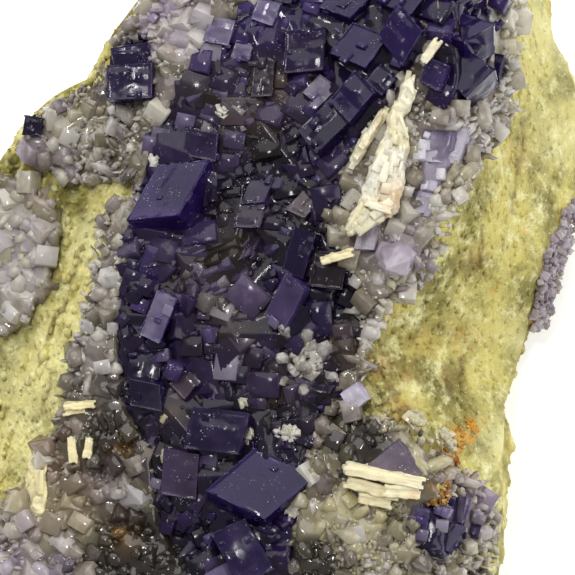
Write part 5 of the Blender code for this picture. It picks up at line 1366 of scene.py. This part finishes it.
quartzCrystals = {
    # base x and y, height of the base, length, radius, lean towards +x and towards +y
    "quartzRimCrystal": ("quartz_rim_crystal", [(40.6, 25, 0.2, 4.6, 1.9, -0.45, 0.42)], 0.15, 0.55),
    "quartzLeftGrain": ("quartz_left_grain", [(11.2, 28, 0.2, 2.6, 1.3, -0.1, -0.1)], 0, 0),
    "quartzLowGrain": ("quartz_low_grain", [(13.6, 49.4, 0, 3.4, 2.2, 0.2, 0.15)], -0.05, 0.2),
    "quartzMiddleCluster": ("quartz_middle_cluster", [
        (29.4, 34.4, 0.2, 3, 0.6, -0.4, -0.6), (30.4, 34.8, 0.3, 3.2, 0.7, 0.1, -0.5),
        (31.4, 35.6, 0.2, 3.3, 0.8, 0.4, -0.3), (29.4, 36, 0.3, 2.8, 0.6, -0.5, -0.1),
        (30.5, 36.5, 0.3, 3, 0.75, 0, 0.1), (31.8, 37.1, 0.2, 2.6, 0.6, 0.6, 0.2),
        (30.6, 37.8, 0.2, 2.5, 0.65, -0.1, 0.5), (29.6, 37.2, 0.1, 2.4, 0.5, -0.6, 0.4)], 0.3, 0.02),
}


def quartzCrystal(spec, tone, lilac, seed):
    # a profile of radii carried up the axis: six flat sides, then six faces that close to the tip, roughened
    x, y, sunk, length, radius, leanX, leanY = spec
    foot = pointAt(x, y, sunk - 1.0)
    axis = unit(np.array([leanX, -leanY, 1.0]))
    side = unit(np.cross(axis, [0.3, 1.0, 0.2]))
    rows, spokes = 22, 36
    tall = length + 1.0
    shoulder = (tall - radius * 1.1) / tall
    up = np.linspace(0.0, 1.0, rows)
    reach = np.where(up < shoulder, 1.0 - 0.05 * up, np.maximum((1.0 - up) / (1.0 - shoulder), 0.02))
    turn = np.arange(spokes) / spokes * math.tau
    hexagon = math.cos(math.pi / 6) / np.cos((turn + math.pi / 6) % (math.pi / 3) - math.pi / 6)
    ring = (np.cos(turn)[:, None] * side + np.sin(turn)[:, None] * np.cross(axis, side)) * hexagon[:, None] * radius
    points = foot + up[:, None, None] * tall * axis + reach[:, None, None] * ring[None]
    points = points.reshape(-1, 3)
    points = points + ringPush(points, foot, axis, seed)
    quads, fans = tubeFaces(rows, spokes)
    return shape(np.concatenate([points, [foot, foot + axis * tall]]), [quads[:, [0, 3, 2, 1]], fans[:, [1, 0, 2]]],
                 tone=tone, lilac=lilac, cream=0.0, stain=0.0)


def ringPush(points, foot, axis, seed):
    # small dents square to the axis
    away = points - foot
    away = unit(away - (away @ axis)[:, None] * axis)
    return away * (layeredNoise(points, 0.9, 3, seed) * 0.12)[:, None]


for name, (node, specs, tone, lilac) in quartzCrystals.items():
    made = [quartzCrystal(spec, tone, lilac, 600 + index) for index, spec in enumerate(specs)]
    addPiece(name, join(made), clearQuartz if node == "quartz_low_grain" else milkyQuartz, "quartz", [node])


# Barite

bariteForm = {
    "wallLeft": [(40.8, 7.2), (39.8, 9.8), (38.5, 12.5), (37.8, 15), (36.6, 18), (35.6, 20.5), (34.6, 22.8),
                 (34.2, 23.8)],
    "wallRight": [(41.6, 8), (41.5, 10), (40.3, 12), (41, 14), (40.6, 16.5), (40.2, 19), (39.8, 21.2), (35.6, 23.6)],
    "wallHeight": 4.2, "wallLeaves": 110,
    "finLeft": [(38.4, 11), (37.4, 12.1), (36, 13.8), (35.1, 16)],
    "finRight": [(38.3, 12), (37.6, 13), (36.8, 14.6), (35.6, 16.4)],
    "finHeight": 3.8, "finLeaves": 26,
    "columnLeft": [(3.2, 44.6), (2.6, 48), (3.4, 51.8)],
    "columnRight": [(4.6, 45.2), (4.8, 48), (4.6, 51.6)],
    "columnHeight": 2.5, "columnLeaves": 34,
    "roundness": 0.35, "dents": 0.42, "sunk": 1.4,  # the wall's squareness, its dents, its depth in the rock
    # centre x and y, height of its middle, length, width, thickness, bearing and tilt in degrees
    "blades": {
        "bariteTip": ("barite_tip", [(43, 5.2, 5.2, 2.6, 4.8, 0.8, -55, 12)]),
        "bariteBarUpper": ("barite_bar_upper", [(37.8, 20.6, 4.6, 2.9, 2.2, 0.8, 18, 0)]),
        "bariteBarLower": ("barite_bar_lower", [(33.6, 25.7, 4.8, 3.4, 2, 0.8, -16, 5)]),
        "bariteStack": ("barite_stack", [
            (38.4, 47.6, 3.4, 8.2, 3, 1.2, 11, 0), (37.3, 48.9, 2.8, 5.4, 3, 1.2, 15, 0),
            (40.2, 49.2, 2.6, 3.6, 3, 1.2, 4, 0), (37.5, 50.1, 2.2, 3.4, 3, 1.1, 12, 0)]),
        "baritePairLeft": ("barite_pair_left", [
            (7.9, 40.5, 2.2, 3.3, 2.4, 0.8, -4, 0), (7.5, 41.1, 1.9, 2.2, 2.4, 0.7, -6, 0)]),
        "bariteBladeLeft": ("barite_blade_left", [(7.2, 45, 2.1, 2.8, 2, 0.8, 84, 0)]),
        "bariteBladeInner": ("barite_blade_inner", [(8.8, 44.8, 2.1, 2.2, 2, 0.8, 98, 0)]),
    },
    "stain": [(39.4, 19.6, 1.3, 0.8), (41.4, 49.6, 0.7, 0.5), (38.2, 12.4, 0.8, 0.2)],
    "yellow": [(8, 41, 3, 0.9), (8, 45, 2, 0.6), (4, 48, 4.5, 1), (38.5, 48.6, 4.5, 0.45), (33.6, 25.7, 3, 0.5)],
}


def alongLine(line, shares):
    # the points of a line of corners at some shares of its length
    corners = np.array(line)
    lengths = np.concatenate([[0.0], np.cumsum(np.linalg.norm(np.diff(corners, axis=0), axis=1))])
    return np.stack([np.interp(shares, lengths / lengths[-1], corners[:, axis]) for axis in (0, 1)], axis=-1)


def bariteValues(x, y):
    # stain and yellow at each place
    return {name: zoneValue(x, y, 0.0, bariteForm[name]) for name in ("stain", "yellow")}


def bariteWall(left, right, height, seed, rows=110, around=44):
    # a squared profile carried along between two edge lines: up one side, over the uneven top, down the other
    along = np.linspace(0.0, 1.0, rows)
    turn = np.linspace(0.0, math.tau, around, endpoint=False)
    across, rise = (np.sign(wave) * np.abs(wave) ** bariteForm["roundness"] for wave in (np.cos(turn), np.sin(turn)))
    side = ((across + 1.0) * 0.5)[None, :, None]
    plan = alongLine(left, along)[:, None] * (1.0 - side) + alongLine(right, along)[:, None] * side
    x, y = plan[..., 0], plan[..., 1]
    ends = np.minimum(np.minimum(along, 1.0 - along) * 14.0, 1.0)[:, None] ** 0.5
    middleX, middleY = x.mean(axis=1, keepdims=True), y.mean(axis=1, keepdims=True)
    x, y = middleX + (x - middleX) * ends, middleY + (y - middleY) * ends
    flat = np.stack([x.ravel(), y.ravel(), rise[None].repeat(rows, 0).ravel() * 2.0], axis=1)
    layers = np.round(layeredNoise(flat * [1.0, 0.35, 1.0], 0.8, 2, seed) * 4.0) / 4.0
    top = height * (0.86 + 0.16 * layers.reshape(x.shape)) * (0.55 + 0.45 * ends)
    h = relief(x, y) + np.where(rise[None] > 0, top * rise[None], bariteForm["sunk"] * rise[None])
    points = onFace(x, y, h).reshape(-1, 3)
    dents = layeredNoise(points * [1.0, 1.0, 0.5], 1.3, 4, seed + 5) * bariteForm["dents"]
    middle = onFace(middleX, middleY, relief(middleX, middleY)).repeat(around, 1).reshape(-1, 3)
    points = points + unit((points - middle) * [1.0, 1.0, 0.3]) * dents[:, None]
    points = np.concatenate([points, [points[:around].mean(axis=0), points[-around:].mean(axis=0)]])
    return faceOutwards(shape(points, tubeFaces(rows, around), **bariteValues(*facePlan(points))))


def bariteLeaves(left, right, height, count, seed):
    # thin plates set on edge along a wall, a little turned against each other, so that its top is ragged
    draw = np.random.default_rng(seed)
    spots = np.sort(draw.random(count))[:, None] * 0.94 + 0.03 + np.array([[0.0, 0.02]])
    lines = [alongLine(line, spots) for line in (left, right)]
    across = draw.uniform(0.14, 0.86, count)[:, None]
    place = lines[0][:, 0] * (1.0 - across) + lines[1][:, 0] * across
    after = lines[0][:, 1] * (1.0 - across) + lines[1][:, 1] * across
    run = unit(np.column_stack([after[:, 0] - place[:, 0], place[:, 1] - after[:, 1], draw.normal(0.0, 0.02, count)]))
    width = np.hypot(*(lines[1][:, 0] - lines[0][:, 0]).T)
    up = unit(np.column_stack([draw.normal(0.0, 0.12, count), draw.normal(0.0, 0.10, count), np.ones(count)]))
    run = unit(run + draw.normal(0.0, 0.09, (count, 3)))
    side = unit(np.cross(up, run))
    size = np.column_stack(
        [draw.uniform(0.3, 1.3, count), draw.uniform(0.10, 0.5, count), draw.uniform(0.4, 1.0, count)])
    axes = np.stack([unit(np.cross(side, up)), side, up], axis=1) * size[:, :, None]
    x, y = place.T
    arch = 0.75 + 0.25 * np.sin(np.pi * across[:, 0])
    top = height * arch * draw.uniform(0.8, 1.06, count) * np.clip(width / 2.2, 0.6, 1.0)
    origins = onFace(x, y, relief(x, y) + top - size[:, 2])
    template, groups = bevelledCube(0.04)
    return copies(template, groups, origins, axes, **bariteValues(x, y))


def bariteBlade(spec, seed):
    # a lattice box along its own length, width and thickness; thin cleavage layers step in and out at its edges
    x, y, above, length, width, thickness, bearing, tilt = spec
    bearing, tilt = math.radians(-bearing), math.radians(-tilt)
    turn = np.array([[math.cos(bearing), -math.sin(bearing), 0.0], [math.sin(bearing), math.cos(bearing), 0.0],
                     [0.0, 0.0, 1.0]])
    lean = np.array([[math.cos(tilt), 0.0, math.sin(tilt)], [0.0, 1.0, 0.0], [-math.sin(tilt), 0.0, math.cos(tilt)]])
    directions = (turn @ lean).T
    template, quads, outward = cubeLattice(20, 0.08)
    points = pointAt(x, y, above) - directions[2] * width * 0.5
    points = points + (template * [length, thickness, width]) * 0.5 @ directions
    normal = outward @ directions
    layer = np.floor((template[:, 1] + 1.0) * 0.5 * 2.999)
    jut = hashOf(np.stack([layer, np.sign(template[:, 0]) * (np.abs(template[:, 0]) > 0.9)], axis=1), seed) - 0.6
    points = points + normal * (jut * 0.5 * (np.abs(outward[:, 0]) > 0.7))[:, None]
    points = points + normal * (layeredNoise(points, 0.8, 3, seed) * 0.16)[:, None]
    groove = (np.abs(outward[:, 2]) > 0.7) * (hashOf(np.stack([layer, layer], axis=1), seed + 2) - 0.5) * 0.2
    points = points + normal * groove[:, None]
    return faceOutwards(shape(points, [quads], **bariteValues(*facePlan(points))))


for name, part in (("bariteWall", "wall"), ("bariteFin", "fin"), ("bariteColumn", "column")):
    left, right, height, leaves = (bariteForm[part + value] for value in ("Left", "Right", "Height", "Leaves"))
    made = [bariteWall(left, right, height, 700), bariteLeaves(left, right, height, leaves, 705)]
    addPiece(name, join(made), creamBarite, "barite", ["barite_" + part])
for name, (node, specs) in bariteForm["blades"].items():
    made = [bariteBlade(spec, 720 + index) for index, spec in enumerate(specs)]
    addPiece(name, join(made), creamBarite, "barite", [node])
print("barite made")


# Camera, light and floor

studio = {
    "sensor": 36.0, "floorReach": 1.5, "sky": 0.42,
    # place, diameter and power
    "keySoftbox": ((-0.14, 0.34, 0.42), 0.7, 2.3), "fillSoftbox": ((0.38, -0.02, 0.34), 0.42, 1.1),
    "glintLamp": ((-0.08, 0.02, 0.42), 0.05, 0.35),
}


def addCamera():
    # on the face's own normal, so that a tenth of a millimetre there is one pixel of the picture
    camera = bpy.data.cameras.new("camera")
    camera.sensor_width, camera.clip_start = studio["sensor"], 0.01
    camera.lens = studio["sensor"] * view["distance"] / view["fieldWidth"]
    holder = newObject("camera", camera)
    holder.location = faceToWorld(np.array([[0.0, 0.0, view["distance"]]]))[0]
    holder.rotation_euler = (view["lean"], 0.0, 0.0)
    bpy.context.scene.camera = holder


def addSoftbox(name, place, size, power, aim=(0.0, 0.0, 0.03)):
    # a round lamp that is turned to shine from its place to the aim
    light = bpy.data.lights.new(name, "AREA")
    light.shape, light.size, light.energy = "DISK", size, power
    holder = newObject(name, light)
    holder.location = place
    away = np.array(place) - np.array(aim)
    holder.rotation_euler = (0.0, math.acos(away[2] / np.linalg.norm(away)), math.atan2(away[1], away[0]))


def addFloor():
    # a flat square sheet well wider than the specimen
    reach = studio["floorReach"]
    corners = [(i * reach, j * reach, 0.0) for i, j in ((-1, -1), (1, -1), (1, 1), (-1, 1))]
    mesh = bpy.data.meshes.new("floor")
    mesh.from_pydata(corners, [], [(0, 1, 2, 3)])
    floor = newObject("floor", mesh)
    material, tree, shader = newMaterial("paleFloor", Roughness=0.9, Emission_Strength=0.35)
    shader.inputs["Emission Color"].default_value = (1.0, 1.0, 1.0, 1.0)
    shade = mixColour(tree, noise(tree, objectPlace(tree), 3.0), (0.88, 0.88, 0.88), (0.92, 0.92, 0.92))
    tree.links.new(shade, shader.inputs["Base Color"])
    mesh.materials.append(material)


def addSky():
    world = bpy.data.worlds.new("studio")
    world.use_nodes = True
    background = world.node_tree.nodes["Background"].inputs
    background[0].default_value, background[1].default_value = (1.0, 1.0, 1.0, 1.0), studio["sky"]
    bpy.context.scene.world = world


addCamera()
for name in ("keySoftbox", "fillSoftbox", "glintLamp"):
    addSoftbox(name, *studio[name])
addFloor()
addSky()
bpy.context.scene.view_settings.view_transform = "Standard"
